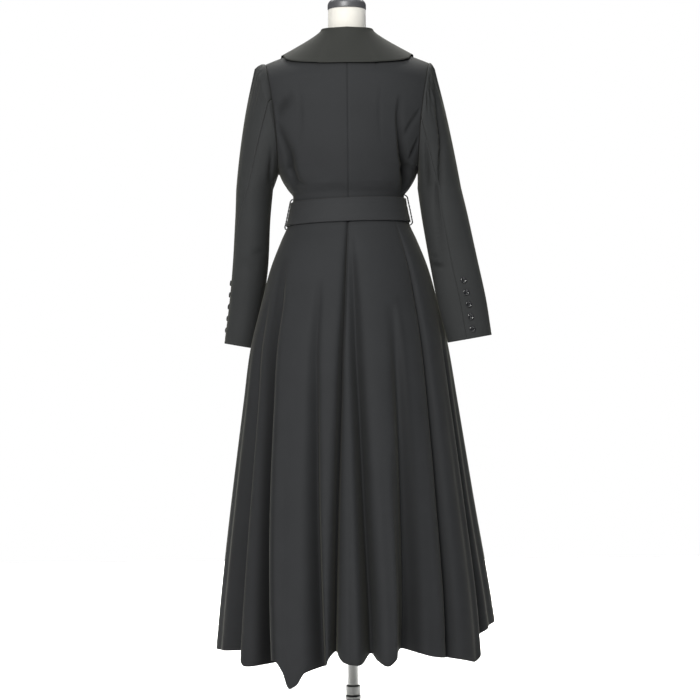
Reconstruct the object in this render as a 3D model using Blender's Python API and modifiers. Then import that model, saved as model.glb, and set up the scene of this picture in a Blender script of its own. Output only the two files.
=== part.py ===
"""Belted long coat worn by a limbless dress form on a pole stand.

Metres, +Z up, with the origin on the floor under the pole. The coat's back faces -Y and its front faces
+Y, so the wearer's right side is +X. Each cloth panel is a thin wall: a function of two parameters gives
the outside of the cloth, and the wall goes inwards along the normal of that function.
"""

import math

import bmesh
import bpy
import numpy as np
from mathutils import Matrix, Vector


def table(columns, *rows):
    """A short table with named columns; its first column is the one that is looked up."""
    return dict(zip(columns.split(), np.array(rows, dtype=float).T))


# Cloth
CLOTH = 0.002
BELT_CLOTH = 0.003
SEAM_GAP = 0.0003

# Levels and points that the panels share
WAIST_Z = 1.100
NECK_BACK = np.array([0.0, -0.062, 1.452])
NECK_SIDE = np.array([0.062, -0.012, 1.458])
SHOULDER_TIP = np.array([0.174, -0.004, 1.416])
UNDERARM = np.array([0.148, 0.000, 1.184])
UNDERARM_RISE = 0.3
SHOULDER_RISE = 0.8
ARMHOLE_REACH = {"back": 0.072, "front": 0.062}
ARMHOLE_HOLLOW = {"back": 0.007, "front": 0.013}

# Bodice rows from the waist (rise 0) to the shoulder seam (rise 1): the centre line's height and depth,
# and the angle that the row turns through between the centre line and the side
BACK = table(
    "rise z depth turn",
    (0.000, WAIST_Z, 0.094, 90),
    (0.120, 1.133, 0.091, 90),
    (0.200, 1.158, 0.104, 90),
    (0.300, 1.190, 0.112, 90),
    (0.475, 1.238, 0.118, 76),
    (0.650, 1.312, 0.119, 62),
    (0.825, 1.392, 0.103, 58),
    (1.000, 1.452, 0.062, 60),
)
FRONT = table(
    "rise z depth turn",
    (0.000, WAIST_Z, 0.098, 90),
    (0.120, 1.133, 0.095, 90),
    (0.200, 1.158, 0.110, 90),
    (0.300, 1.195, 0.128, 90),
    (0.475, 1.245, 0.136, 80),
    (0.650, 1.310, 0.124, 68),
    (0.825, 1.375, 0.092, 62),
    (1.000, 1.420, 0.060, 60),
)
SIDE_SEAM = table(
    "rise x z",
    (0.000, 0.1230, WAIST_Z),
    (0.120, 0.1180, 1.133),
    (0.170, 0.1285, 1.148),
    (0.235, 0.1405, 1.167),
    (0.300, 0.1480, 1.184),
)
# The wrapped front edge: 0 is the centre front, 1 the side, and below 0 the edge has crossed the centre
FRONT_EDGE = table(
    "rise place",
    (0.000, -0.18),
    (0.120, -0.11),
    (0.240, 0.00),
    (0.300, 0.05),
    (0.475, 0.20),
    (0.650, 0.30),
    (0.825, 0.34),
    (1.000, 0.30),
)
# Soft drag folds of the back, from one place and rise to another (place 0 centre back, 1 side)
BACK_CREASES = {
    1: table(
        "place rise end_place end_rise depth width",
        (0.64, 0.72, 0.60, 0.26, 0.005, 0.015),
        (0.88, 0.62, 0.66, 0.50, 0.003, 0.015),
    ),
    -1: table(
        "place rise end_place end_rise depth width",
        (0.86, 0.58, 0.62, 0.28, 0.004, 0.020),
        (0.52, 0.74, 0.50, 0.50, 0.002, 0.015),
    ),
}
PANEL_WIDTH = 0.17
PANEL_HEIGHT = 0.36
CREASE_END = 0.15
LOWER_RISES = np.array([0.06, 0.12, 0.17, 0.235])
UPPER_RISES = np.array([0.30, 0.3875, 0.475, 0.5625, 0.65, 0.7375, 0.825, 0.87, 0.9125, 0.945, 0.975, 1.0])
# The walls of both panels stand on this direction at the shoulder seam, so that they meet squarely
SHOULDER_UPRIGHT = np.array([0.39, 0.0, 0.92])
SHOULDER_BLEND = 0.1

# Sleeves: sections below the armhole, with the distance out from the centre, the tilt of the ring and
# the angle of the back seam (0 outside, 90 back, 180 inside)
SLEEVES = {
    1: table(
        "drop z out y half_out half_y tilt seam",
        (0.00, 1.1500, 0.1935, 0.000, 0.0465, 0.056, 0.00, 95),
        (0.21, 1.0840, 0.2050, -0.008, 0.0490, 0.049, 0.06, 98),
        (0.47, 0.9990, 0.2200, -0.022, 0.0500, 0.040, 0.12, 98),
        (0.74, 0.9135, 0.2360, -0.034, 0.0505, 0.034, 0.18, 96),
        (1.00, 0.8290, 0.2525, -0.040, 0.0465, 0.031, 0.17, 100),
    ),
    -1: table(
        "drop z out y half_out half_y tilt seam",
        (0.00, 1.1500, 0.2000, 0.000, 0.0393, 0.056, 0.00, 74),
        (0.20, 1.0840, 0.2050, 0.006, 0.0375, 0.050, 0.04, 40),
        (0.46, 0.9990, 0.2110, 0.025, 0.0380, 0.047, 0.08, 20),
        (0.71, 0.9135, 0.2220, 0.048, 0.0365, 0.046, 0.14, 8),
        (1.00, 0.8180, 0.2370, 0.064, 0.0350, 0.045, 0.18, 2),
    ),
}
SLEEVE_CAP = 0.38
SLEEVE_FULLNESS = {1: 0.0095, -1: 0.021}
UNDER_SLEEVE = 170
GATHERS = 3
GATHER_SPAN = 50
GATHER_DEPTH = 0.003
HEAD_TURN = 0.06
GATHER_FADE = (0.1, 0.35)
SLEEVE_SEAM_GAP = 0.003
SLEEVE_COLUMNS = {"upper": 25, "under": 10}
CAP_ROWS = np.array([0, 0.05, 0.14, 0.3, 0.5, 0.75])
ARM_ROWS = np.array([0.38, 0.42, 0.46, 0.50, 0.55, 0.62, 0.72, 0.82, 0.91, 1.0])

# Skirt sections by the drop below the waist
SKIRT = table(
    "drop half_width back front shift",
    (0.000, 0.1230, 0.094, 0.098, 0.0000),
    (0.025, 0.1290, 0.099, 0.103, 0.0000),
    (0.060, 0.1445, 0.114, 0.116, 0.0000),
    (0.123, 0.1690, 0.138, 0.136, 0.0000),
    (0.185, 0.1857, 0.156, 0.151, 0.0000),
    (0.293, 0.2120, 0.182, 0.172, -0.0010),
    (0.400, 0.2285, 0.202, 0.188, 0.0005),
    (0.612, 0.2600, 0.238, 0.214, 0.0035),
    (0.825, 0.2905, 0.270, 0.238, 0.0085),
    (0.960, 0.3060, 0.286, 0.250, 0.0105),
)
# Folds of the skirt: the angle of the valley round the body at the hem, waist and knee (0 centre back,
# 90 right side), how far down it starts, its depth at the hem and its width on either side in degrees.
# A row with no depth only holds a seam in place.
FOLDS = table(
    "hem waist knee start depth left right",
    (-200, -200, -200, 0.00, 0.000, 5.0, 5.0),
    (-145, -143, -144, 0.30, 0.024, 7.0, 6.0),
    (-114, -112, -113, 0.22, 0.032, 6.0, 8.0),
    (-90, -90, -90, 0.00, 0.000, 5.0, 5.0),
    (-64, -67, -66, 0.20, 0.030, 3.0, 5.0),
    (-43, -52, -50, 0.12, 0.056, 6.0, 2.5),
    (-15, -20, -18, 0.22, 0.018, 6.0, 3.5),
    (-10.3, -0.5, -6.2, 0.00, 0.042, 1.4, 4.0),
    (7, 2, 5.5, 0.03, 0.032, 5.0, 4.0),
    (23, 27, 28, 0.30, 0.034, 5.0, 5.0),
    (42, 50, 48, 0.03, 0.026, 6.0, 1.7),
    (64, 70, 70, 0.30, 0.030, 2.5, 6.0),
    (90, 90, 90, 0.00, 0.000, 5.0, 5.0),
    (111, 109, 110, 0.28, 0.030, 8.0, 6.0),
    (140, 138, 139, 0.20, 0.028, 6.0, 6.0),
    (200, 200, 200, 0.00, 0.000, 5.0, 5.0),
)
HEM = table(
    "angle height",
    (-200, 0.185),
    (-110, 0.184),
    (-82, 0.180),
    (-64, 0.187),
    (-54, 0.163),
    (-45, 0.170),
    (-35, 0.186),
    (-30.7, 0.165),
    (-27.2, 0.134),
    (-24.2, 0.142),
    (-21.2, 0.166),
    (-14, 0.178),
    (-10.3, 0.202),
    (-6, 0.186),
    (1, 0.181),
    (6.5, 0.198),
    (8.5, 0.186),
    (12, 0.178),
    (21, 0.204),
    (33, 0.190),
    (45, 0.180),
    (54, 0.170),
    (60, 0.184),
    (70, 0.220),
    (88, 0.232),
    (120, 0.197),
    (200, 0.185),
)
FOLD_GROWTH = 0.8
SKIRT_ROWS = np.array([SEAM_GAP / 2, 0.013, 0.03, 0.08, 0.15, 0.25, 0.38, 0.52, 0.66, 0.80, 0.91, 1.0])
SKIRT_SEAM_GAP = 0.04
PLEAT_ANGLE = -10.3
# The left front lies under the right one: how far it crosses the centre in degrees, how far in it is
# tucked, and where the tuck starts and over what distance it grows
WRAP = 16
WRAP_TUCK = 0.004
TUCK_PLACE = (0.34, 0.2)
TUCK_RISE = (0.42, 0.1)
TUCK_COLUMN = (-148, 12)

# Collar, from the centre back (0) over the shoulder to the end of the lapel (1)
COLLAR_SHOULDER = 0.3
COLLAR_END_RISE = 0.33
COLLAR_LIFT = 0.007
COLLAR_FOLD = 0.0062
COLLAR_SECTIONS = np.array([0, 0.5, 1, 1.5, 2, 2.3, 2.65, 3])
COLLAR_STEP = 0.02
# Where the seam's direction turns from the back to the front, and where the lapel comes to lie flat
COLLAR_TURN = (-0.08, 0.16)
LAPEL_FLAT = (0.02, 0.24)
NECK_CENTRE_Y = -0.010
COLLAR_STAND = table(
    "place height lean",
    (0.00, 0.031, 0.0085),
    (0.30, 0.027, 0.0120),
    (0.46, 0.016, 0.0020),
    (0.62, 0.006, 0.0000),
    (1.00, 0.004, 0.0000),
)
COLLAR_BACK_EDGE = table(
    "place across rise",
    (0.000, 0.000, 0.8385),
    (0.078, 0.125, 0.8385),
    (0.150, 0.245, 0.8395),
    (0.212, 0.415, 0.8475),
    (0.260, 0.555, 0.8600),
    (0.290, 0.675, 0.8850),
    (0.300, 0.723, 1.0000),
)
COLLAR_FRONT_EDGE = table(
    "place across rise",
    (0.300, 0.680, 1.00),
    (0.326, 0.680, 0.93),
    (0.360, 0.675, 0.89),
    (0.460, 0.660, 0.81),
    (0.620, 0.580, 0.68),
    (0.800, 0.420, 0.52),
    (1.000, 0.100, 0.33),
)

# Belt
BELT_WIDTH = 0.048
BELT_GAP = 0.0014
BELT_TILT = 0.03
BELT_STEP = 9
KNOT_SIZE = (0.060, 0.030, 0.062)
KNOT_OUT = 0.47
TAIL_TOP = 0.62
TAIL_LENGTH = {"over": 0.33, "under": 0.29}
TAIL_START = {"over": -0.010, "under": 0.010}
TAIL_LEAN = {"over": -0.06, "under": 0.08}
TAIL_LIFT = {"over": 0.0078, "under": 0.0042}
LOOP_RADIUS = 0.0009
LOOP_ANGLE = 84
LOOP_SLACK = {-1: 0.0006, 1: 0.0028}
LOOP = table(
    "up level",
    (1.16, 0.00),
    (1.13, 0.45),
    (1.06, 0.90),
    (0.85, 1.00),
    (0.50, 1.05),
    (0.15, 1.00),
    (-0.06, 0.90),
    (-0.13, 0.45),
    (-0.17, 0.00),
)

# Cuff buttons
BUTTON_RADIUS = 0.0064
BUTTON_COUNT = 5
BUTTON_FIRST_Z = 0.949
BUTTON_STEP = 0.0255
BUTTON_FROM_SEAM = 18
# Half section of a button, as shares of its radius and heights above the cloth
BUTTON_PROFILE = table(
    "share height",
    (0.00, 0.0017),
    (0.62, 0.0017),
    (0.72, 0.0027),
    (0.93, 0.0027),
    (1.00, 0.0017),
    (0.80, 0.0000),
    (0.00, 0.0000),
)
BUTTON_SIDES = 12

# Dress form and stand
FORM = table(
    "z half_width back front y taper",
    (0.900, 0.142, 0.112, 0.108, 0.000, 1.00),
    (0.960, 0.150, 0.118, 0.112, 0.000, 1.00),
    (1.020, 0.140, 0.108, 0.106, 0.000, 1.00),
    (1.060, 0.1240, 0.0950, 0.0950, 0.000, 1.00),
    (1.080, 0.1205, 0.0920, 0.0910, 0.000, 1.00),
    (1.100, 0.1195, 0.0910, 0.0900, 0.000, 1.00),
    (1.133, 0.1140, 0.0870, 0.0870, 0.000, 1.00),
    (1.180, 0.1260, 0.0960, 0.1100, 0.000, 1.00),
    (1.240, 0.1380, 0.1060, 0.1220, 0.000, 1.00),
    (1.300, 0.1420, 0.1080, 0.1080, 0.000, 1.00),
    (1.360, 0.1480, 0.1000, 0.0820, 0.000, 1.00),
    (1.395, 0.1500, 0.0820, 0.0580, -0.004, 1.15),
    (1.415, 0.1420, 0.0600, 0.0340, -0.008, 1.35),
    (1.427, 0.1140, 0.0500, 0.0280, -0.008, 1.35),
    (1.438, 0.0850, 0.0450, 0.0280, -0.008, 1.35),
    (1.448, 0.0590, 0.0420, 0.0300, -0.006, 1.20),
    (1.460, 0.0450, 0.0400, 0.0340, -0.004, 1.00),
    (1.480, 0.0410, 0.0390, 0.0370, -0.002, 1.00),
    (1.531, 0.0400, 0.0390, 0.0390, 0.000, 1.00),
)
FORM_SIDES = 24
CAP_RADIUS = 0.041
CAP_HEIGHT = 0.030
# Half section of the cap's dome, as shares of its radius and depths below its top
CAP_DOME = table("share depth", (0, 0), (0.3, 0.001), (0.62, 0.005), (0.9, 0.013), (1, 0.021))
POLE_RADIUS = 0.011
SOCKET_TOP = 0.072
SOCKET_RADIUS = 0.0165
RING_TOP = 0.0935
RING_RADIUS = 0.0155
BASE_RADIUS = 0.165
BASE_HEIGHT = 0.010
STAND_EDGE = 0.0015
FLANGE = table("share height", (1.0, 0.022), (2.0, 0.016))
FLANGE_SHARE = 2.1

COAT_COLOUR = (0.030, 0.032, 0.033, 1)
BUTTON_COLOUR = (0.012, 0.012, 0.013, 1)
FORM_COLOUR = (0.78, 0.74, 0.66, 1)
STEEL_COLOUR = (0.42, 0.42, 0.43, 1)
DARK_STEEL_COLOUR = (0.12, 0.12, 0.125, 1)


def follow(rows, column, at):
    """A column's value at a place in the first column, on a monotone cubic through the rows."""
    x = next(iter(rows.values()))
    y = rows[column]
    step = np.diff(x)
    slope = np.diff(y) / step
    product = slope[1:] * slope[:-1]
    total = slope[1:] + slope[:-1]
    bend = np.where(product > 0, 2 * product / np.where(total == 0, 1, total), 0)
    tangent = np.concatenate([slope[:1], bend, slope[-1:]])
    at = np.asarray(at, dtype=float)
    i = np.clip(np.searchsorted(x, at, side="right") - 1, 0, len(step) - 1)
    u = np.clip((at - x[i]) / step[i], 0, 1)
    rest = 1 - u
    start = (1 + 2 * u) * rest**2 * y[i] + u * rest**2 * step[i] * tangent[i]
    return start + (3 - 2 * u) * u**2 * y[i + 1] - u**2 * rest * step[i] * tangent[i + 1]


def ease(x):
    """A smooth step from 0 to 1."""
    x = np.clip(x, 0, 1)
    return x * x * (3 - 2 * x)


def mix(a, b, share):
    """Points part of the way from a to b."""
    share = np.asarray(share)[..., None]
    return a * (1 - share) + b * share


def valley(x, rounding=0.3):
    """1 on a fold's bottom line and falling away on both sides, with a rounded bottom."""
    return np.exp(rounding - np.sqrt(x * x + rounding * rounding))


def unit(vectors):
    return vectors / np.linalg.norm(vectors, axis=-1, keepdims=True)


def normals(surface, u, v, step=1e-4):
    """The surface's normals, from central differences."""
    across = surface(u + step, v) - surface(u - step, v)
    along = surface(u, v + step) - surface(u, v - step)
    return unit(np.cross(across, along))


def material(name, colour, roughness, metallic=0.0):
    made = bpy.data.materials.new(name)
    made.use_nodes = True
    shader = made.node_tree.nodes["Principled BSDF"]
    shader.inputs["Base Color"].default_value = colour
    shader.inputs["Roughness"].default_value = roughness
    shader.inputs["Metallic"].default_value = metallic
    made.diffuse_color = colour
    return made


def add_object(name, data, finish):
    data.materials.append(finish)
    made = bpy.data.objects.new(name, data)
    collection.objects.link(made)
    return made


def add_mesh(name, points, faces, finish):
    """A smooth closed mesh from points and faces that point outwards."""
    mesh = bpy.data.meshes.new(name)
    mesh.from_pydata(points.reshape(-1, 3).tolist(), [], [list(map(int, face)) for face in faces])
    mesh.shade_smooth()
    mesh.set_sharp_from_angle(angle=math.radians(50))
    return add_object(name, mesh, finish)


def strip(path, other):
    """Quads between two rows of point numbers."""
    return np.stack([path[:-1], path[1:], other[1:], other[:-1]], axis=-1)


def wall(name, outside, inside, facing, finish, closed=False):
    """A wall between two grids of points; a closed one joins its last column to its first."""
    rows, columns = outside.shape[:2]
    number = np.arange(rows * columns).reshape(rows, columns)
    if closed:
        number = np.hstack([number, number[:, :1]])
    behind = number + rows * columns
    faces = [strip(number[i], number[i + 1]) for i in range(rows - 1)]
    faces += [strip(behind[i + 1], behind[i]) for i in range(rows - 1)]
    faces += [strip(behind[0], number[0]), strip(number[-1], behind[-1])]
    if not closed:
        faces += [strip(number[:, 0], behind[:, 0]), strip(behind[:, -1], number[:, -1])]
    faces = np.concatenate(faces)[:, ::facing]
    return add_mesh(name, np.stack([outside, inside]), faces, finish)


def panel(name, surface, us, vs, facing, finish, thickness=CLOTH, closed=False, step=1e-4):
    """A wall whose outside is the surface on a grid of parameters."""
    u, v = np.meshgrid(us, vs)
    outside = surface(u, v)
    inside = outside - facing * thickness * normals(surface, u, v, step)
    return wall(name, outside, inside, facing, finish, closed)


def armhole(face, angle):
    """The armhole seam of the right side: 0 at the shoulder tip, 180 at the underarm."""
    angle = np.radians(angle)
    height = (1 + np.cos(angle)) / 2
    bulge = np.sin(angle)
    point = mix(UNDERARM, SHOULDER_TIP, height)
    point[..., 0] -= ARMHOLE_HOLLOW[face] * bulge**2
    point[..., 1] += ARMHOLE_REACH[face] * np.abs(bulge) * (-1 if face == "back" else 1)
    return point


def side_edge(face, rise):
    """The outer edge of a right bodice panel: the side seam, then the armhole."""
    rise = np.asarray(rise, dtype=float)
    seam = np.stack([follow(SIDE_SEAM, "x", rise), 0 * rise, follow(SIDE_SEAM, "z", rise)], axis=-1)
    angle = 180 * (1 - np.clip((rise - UNDERARM_RISE) / (1 - UNDERARM_RISE), 0, 1))
    return np.where((rise <= UNDERARM_RISE)[..., None], seam, armhole(face, angle))


def row_points(face, place, rise):
    """Points of the right half: arcs from the centre line (place 0) to the side edge (place 1)."""
    rows = BACK if face == "back" else FRONT
    edge = side_edge(face, rise)
    turn = np.radians(follow(rows, "turn", rise))
    depth = follow(rows, "depth", rise) * (-1 if face == "back" else 1)
    height = follow(rows, "z", rise)
    bow = (1 - np.cos(turn * place)) / (1 - np.cos(turn))
    x = edge[..., 0] * np.sin(turn * place) / np.sin(turn)
    y = depth + (edge[..., 1] - depth) * bow
    z = height + (edge[..., 2] - height) * place**2
    return np.stack([x, y, z], axis=-1)


def back_top(place):
    """Top edge of the right back: a quarter of the neckline, then the straight shoulder seam."""
    x = row_points("back", place, np.ones_like(place))[..., 0]
    share = np.clip(x / NECK_SIDE[0], 0, 1)
    neck_y = NECK_SIDE[1] + (NECK_BACK[1] - NECK_SIDE[1]) * np.sqrt(1 - share**2)
    neck_z = NECK_BACK[2] + (NECK_SIDE[2] - NECK_BACK[2]) * share**2
    neck = np.stack([x, neck_y, neck_z], axis=-1)
    along = np.clip((x - NECK_SIDE[0]) / (SHOULDER_TIP[0] - NECK_SIDE[0]), 0, 1)
    return np.where((x < NECK_SIDE[0])[..., None], neck, mix(NECK_SIDE, SHOULDER_TIP, along))


def crease(rows, place, rise):
    """How far the drag folds pull the cloth in."""
    pull = np.zeros_like(place)
    for i in range(len(rows["place"])):
        start = np.array([rows["place"][i] * PANEL_WIDTH, rows["rise"][i] * PANEL_HEIGHT])
        end = np.array([rows["end_place"][i] * PANEL_WIDTH, rows["end_rise"][i] * PANEL_HEIGHT])
        point = np.stack([place * PANEL_WIDTH, rise * PANEL_HEIGHT], axis=-1)
        line = end - start
        share = np.clip(((point - start) @ line) / (line @ line), 0, 1)
        away = np.linalg.norm(point - start - share[..., None] * line, axis=-1)
        pull += rows["depth"][i] * np.exp(-((away / rows["width"][i]) ** 2))
    return pull * ease((1 - place) / CREASE_END)


def bodice_back(side, place, rise):
    """Outside of a back panel: arcs that run up into the neckline and the shoulder seam."""
    point = row_points("back", place, rise)
    point = mix(point, back_top(place), ease((rise - SHOULDER_RISE) / (1 - SHOULDER_RISE)))
    point[..., 1] += crease(BACK_CREASES[side], place, rise)
    return point * (side, 1, 1)


def bodice_front(side, across, rise):
    """Outside of a front panel: across is 0 on the wrapped edge and 1 at the side."""
    edge = follow(FRONT_EDGE, "place", rise)
    place = edge + (1 - edge) * across
    point = row_points("front", place, rise)
    seam = mix(NECK_SIDE, SHOULDER_TIP, np.clip(across, 0, 1))
    point = mix(point, seam, ease((rise - SHOULDER_RISE) / (1 - SHOULDER_RISE)))
    if side < 0:
        sideways = ease((TUCK_PLACE[0] - place) / TUCK_PLACE[1])
        point[..., 1] -= WRAP_TUCK * sideways * ease((TUCK_RISE[0] - rise) / TUCK_RISE[1])
    return point * (side, 1, 1)


def shoulder_normals(surface, side, facing, across, rise, seam_start):
    """Outward normals that turn upright at the shoulder seam, so that both panels meet squarely."""
    plain = facing * normals(surface, across, rise)
    upright = unit(SHOULDER_UPRIGHT * (side, 1, 1))
    near_seam = ease((rise - 1 + SHOULDER_BLEND) / SHOULDER_BLEND)
    beside_neck = ease((across - seam_start + SHOULDER_BLEND) / SHOULDER_BLEND)
    return unit(mix(plain, upright, near_seam * beside_neck))


def bodice_panel(name, face, side, across, rises, finish):
    """One bodice panel, with its edges held back from the seams."""
    surface = back_surface(side) if face == "back" else front_surface(side)
    facing = side if face == "back" else -side
    u, v = np.meshgrid(across, rises)
    outside = surface(u, v)
    inside = outside - CLOTH * bodice_normals(face, side, u, v)
    return wall(name, outside, inside, facing, finish)


def back_surface(side):
    return lambda place, rise: bodice_back(side, place, rise)


def front_surface(side):
    return lambda across, rise: bodice_front(side, across, rise)


def bodice_normals(face, side, across, rise):
    if face == "back":
        return shoulder_normals(back_surface(side), side, side, across, rise, COLLAR_SHOULDER)
    return shoulder_normals(front_surface(side), side, -side, across, rise, 0.0)


def fold_angle(i, down):
    """Angle of a fold's valley at a share of the way down, through its waist, knee and hem angles."""
    waist = FOLDS["waist"][i] * (1 - down) * (1 - 2 * down)
    knee = FOLDS["knee"][i] * 4 * down * (1 - down)
    return waist + knee + FOLDS["hem"][i] * down * (2 * down - 1)


def skirt(column, down, tuck=0.0):
    """Outside of the skirt: column is the angle at the hem, which follows the folds up to the waist."""
    hems = FOLDS["hem"]
    i = np.clip(np.searchsorted(hems, column, side="right") - 1, 0, len(hems) - 2)
    share = (column - hems[i]) / (hems[i + 1] - hems[i])
    angle = fold_angle(i, down) * (1 - share) + fold_angle(i + 1, down) * share
    push = -tuck * ease((TUCK_COLUMN[0] - column) / TUCK_COLUMN[1])
    for k in np.flatnonzero(FOLDS["depth"]):
        away = angle - fold_angle(k, down)
        width = np.where(away < 0, FOLDS["left"][k], FOLDS["right"][k])
        start = FOLDS["start"][k]
        growth = np.clip((down - start) / (1 - start), 0, 1) ** FOLD_GROWTH
        push = push - FOLDS["depth"][k] * growth * valley(away / width)
    drop = down * (WAIST_Z - follow(HEM, "height", column))
    turn = np.radians(angle)
    half_width = follow(SKIRT, "half_width", drop)
    depth = np.where(np.cos(turn) > 0, follow(SKIRT, "back", drop), follow(SKIRT, "front", drop))
    out = unit(np.stack([np.sin(turn) / half_width, -np.cos(turn) / depth], axis=-1))
    x = follow(SKIRT, "shift", drop) + half_width * np.sin(turn) + push * out[..., 0]
    y = -depth * np.cos(turn) + push * out[..., 1]
    return np.stack([x, y, WAIST_Z - drop], axis=-1)


def fold_columns(first, last, step):
    """Column angles between two seams: close together on the folds and about a step apart elsewhere."""
    chosen = [first, last]
    for hem, depth, left, right in zip(FOLDS["hem"], FOLDS["depth"], FOLDS["left"], FOLDS["right"]):
        if depth:
            chosen += [hem - 1.9 * left, hem - 0.8 * left, hem, hem + 0.8 * right, hem + 1.9 * right]
    chosen = [angle for angle in sorted(chosen) if first <= angle <= last]
    columns = [chosen[0]]
    for angle in chosen[1:]:
        parts = max(1, round((angle - columns[-1]) / step))
        columns += list(np.linspace(columns[-1], angle, parts + 1)[1:])
    return np.array(columns)


def sleeve_ring(side, angle, drop):
    """A sleeve section below the armhole: a tilted ellipse on the right side."""
    rows = SLEEVES[side]
    turn = np.radians(angle)
    out = follow(rows, "half_out", drop) * np.cos(turn)
    x = follow(rows, "out", drop) + out
    y = follow(rows, "y", drop) - follow(rows, "half_y", drop) * np.sin(turn)
    z = follow(rows, "z", drop) + follow(rows, "tilt", drop) * out
    return np.stack([x, y, z], axis=-1)


def sleeve(side, angle, along):
    """Outside of a sleeve: the gathered cap from the armhole, then the tapered arm."""
    turn = np.radians(angle)
    cap = np.clip(along / SLEEVE_CAP, 0, 1)
    hole = np.where((np.sin(turn) > 0)[..., None], armhole("back", angle), armhole("front", angle))
    hole = hole + (SEAM_GAP, 0, 0)
    top = ((1 + np.cos(turn)) / 2) ** 1.5
    full = SLEEVE_FULLNESS[side] * (1 - cap**2) * np.sqrt(np.clip(cap / HEAD_TURN, 0, 1))
    wave = np.cos(np.pi * GATHERS * angle / GATHER_SPAN) - 1
    fade = ease(cap / HEAD_TURN) * (1 - ease((cap - GATHER_FADE[0]) / GATHER_FADE[1]))
    wave = wave * fade * ease((GATHER_SPAN - np.abs(angle)) / 10)
    point = mix(hole, sleeve_ring(side, angle, np.zeros_like(along)), cap)
    puff = full * top + wave * GATHER_DEPTH / 2
    point = point + puff[..., None] * unit(np.stack([np.cos(turn) + 0.3, -np.sin(turn), 0.4 * top], axis=-1))
    arm = sleeve_ring(side, angle, np.clip((along - SLEEVE_CAP) / (1 - SLEEVE_CAP), 0, 1))
    return np.where((along < SLEEVE_CAP)[..., None], point, arm) * (side, 1, 1)


def seam_angle(side, along):
    """Angle of the back seam of a sleeve, which turns outwards on its way to the cuff."""
    return follow(SLEEVES[side], "seam", np.clip((along - SLEEVE_CAP) / (1 - SLEEVE_CAP), 0, 1))


def upper_sleeve(side):
    """The upper sleeve: across runs from the front seam (0) over the shoulder to the back seam (1)."""
    return lambda across, along: sleeve(
        side, seam_angle(side, along) - (360 - UNDER_SLEEVE) * (1 - across), along
    )


def under_sleeve(side):
    """The under sleeve: across runs from the back seam (0) below the arm to the front seam (1)."""
    return lambda across, along: sleeve(side, seam_angle(side, along) + UNDER_SLEEVE * across, along)


def collar_seam(side, place):
    """The collar's neck seam, the way on from the panel that it is sewn to, and the front's seam points."""
    neck_place = np.clip(place, 0, COLLAR_SHOULDER)
    rise = lapel_rise(place)
    zero = np.zeros_like(place)
    one = np.ones_like(place)
    back_seam = bodice_back(side, neck_place, one)
    front_seam = bodice_front(side, zero, rise)
    back_way = unit(back_seam - bodice_back(side, neck_place, one - 0.02))
    front_way = unit(front_seam - bodice_front(side, zero + 0.03, rise))
    turning = ease((place - COLLAR_SHOULDER - COLLAR_TURN[0]) / COLLAR_TURN[1])
    seam = np.where((place <= COLLAR_SHOULDER)[..., None], back_seam, front_seam)
    return seam + SEAM_GAP * unit(mix(back_way, front_way, turning)), front_seam, front_way


def lapel_rise(place):
    """How far up the front edge the lapel is at a place along the collar."""
    lapel = np.clip((place - COLLAR_SHOULDER) / (1 - COLLAR_SHOULDER), 0, 1)
    return 1 - lapel * (1 - COLLAR_END_RISE)


def collar_edge(side, place):
    """The collar's free edge, which lies a little above the back and the fronts."""
    points = []
    for face, rows, surface in (
        ("back", COLLAR_BACK_EDGE, bodice_back),
        ("front", COLLAR_FRONT_EDGE, bodice_front),
    ):
        across = follow(rows, "across", place)
        rise = follow(rows, "rise", place)
        points.append(surface(side, across, rise) + COLLAR_LIFT * bodice_normals(face, side, across, rise))
    return np.where((place <= COLLAR_SHOULDER)[..., None], *points)


def lapel(side, place, fall):
    """The lapel lying on the front, from the fold (fall 0) to the edge (1)."""
    rise = lapel_rise(place)
    across = follow(COLLAR_FRONT_EDGE, "across", place) * fall
    height = rise + (follow(COLLAR_FRONT_EDGE, "rise", place) - rise) * fall
    lift = COLLAR_FOLD + (COLLAR_LIFT - COLLAR_FOLD) * fall
    out = bodice_normals("front", side, across, height)
    return bodice_front(side, across, height) + lift[..., None] * out


def collar_side(side, place, section):
    """One half of the collar; section runs from the neck seam (0) over the fold (1 to 2) to the edge (3)."""
    seam, front_seam, front_way = collar_seam(side, place)
    front_out = bodice_normals("front", side, np.zeros_like(place), lapel_rise(place))
    flat = ease((place - COLLAR_SHOULDER - LAPEL_FLAT[0]) / LAPEL_FLAT[1])
    out = unit(mix(unit(seam * (1, 1, 0) - (0, NECK_CENTRE_Y, 0)), front_out, flat))
    tip = unit(mix(np.broadcast_to((0.0, 0.0, 1.0), seam.shape), front_way, flat))
    height = follow(COLLAR_STAND, "height", place)[..., None]
    lean = follow(COLLAR_STAND, "lean", place)[..., None]
    inner = seam + height * tip - lean * out
    outer = inner + COLLAR_FOLD * out
    crown = (inner + outer) / 2 + COLLAR_FOLD / 2 * tip
    fall = np.clip(section - 2, 0, 1)
    start = front_seam + COLLAR_FOLD * front_out
    lying = lapel(side, place, fall) + ((1 - fall) ** 3)[..., None] * (outer - start)
    falling = mix(mix(outer, collar_edge(side, place), fall), lying, flat)
    standing = mix(seam, inner, np.clip(section, 0, 1))
    over = np.clip(section - 1, 0, 1)
    fold = mix(mix(inner, crown, np.clip(2 * over, 0, 1)), outer, np.clip(2 * over - 1, 0, 1))
    point = np.where((section <= 1)[..., None], standing, fold)
    return np.where((section >= 2)[..., None], falling, point)


def collar(place, section):
    """Outside of the whole collar, from the left lapel's end (-1) to the right one's (1)."""
    right = collar_side(1, np.abs(place), section)
    left = collar_side(-1, np.abs(place), section)
    return np.where((place >= 0)[..., None], right, left)


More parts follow.
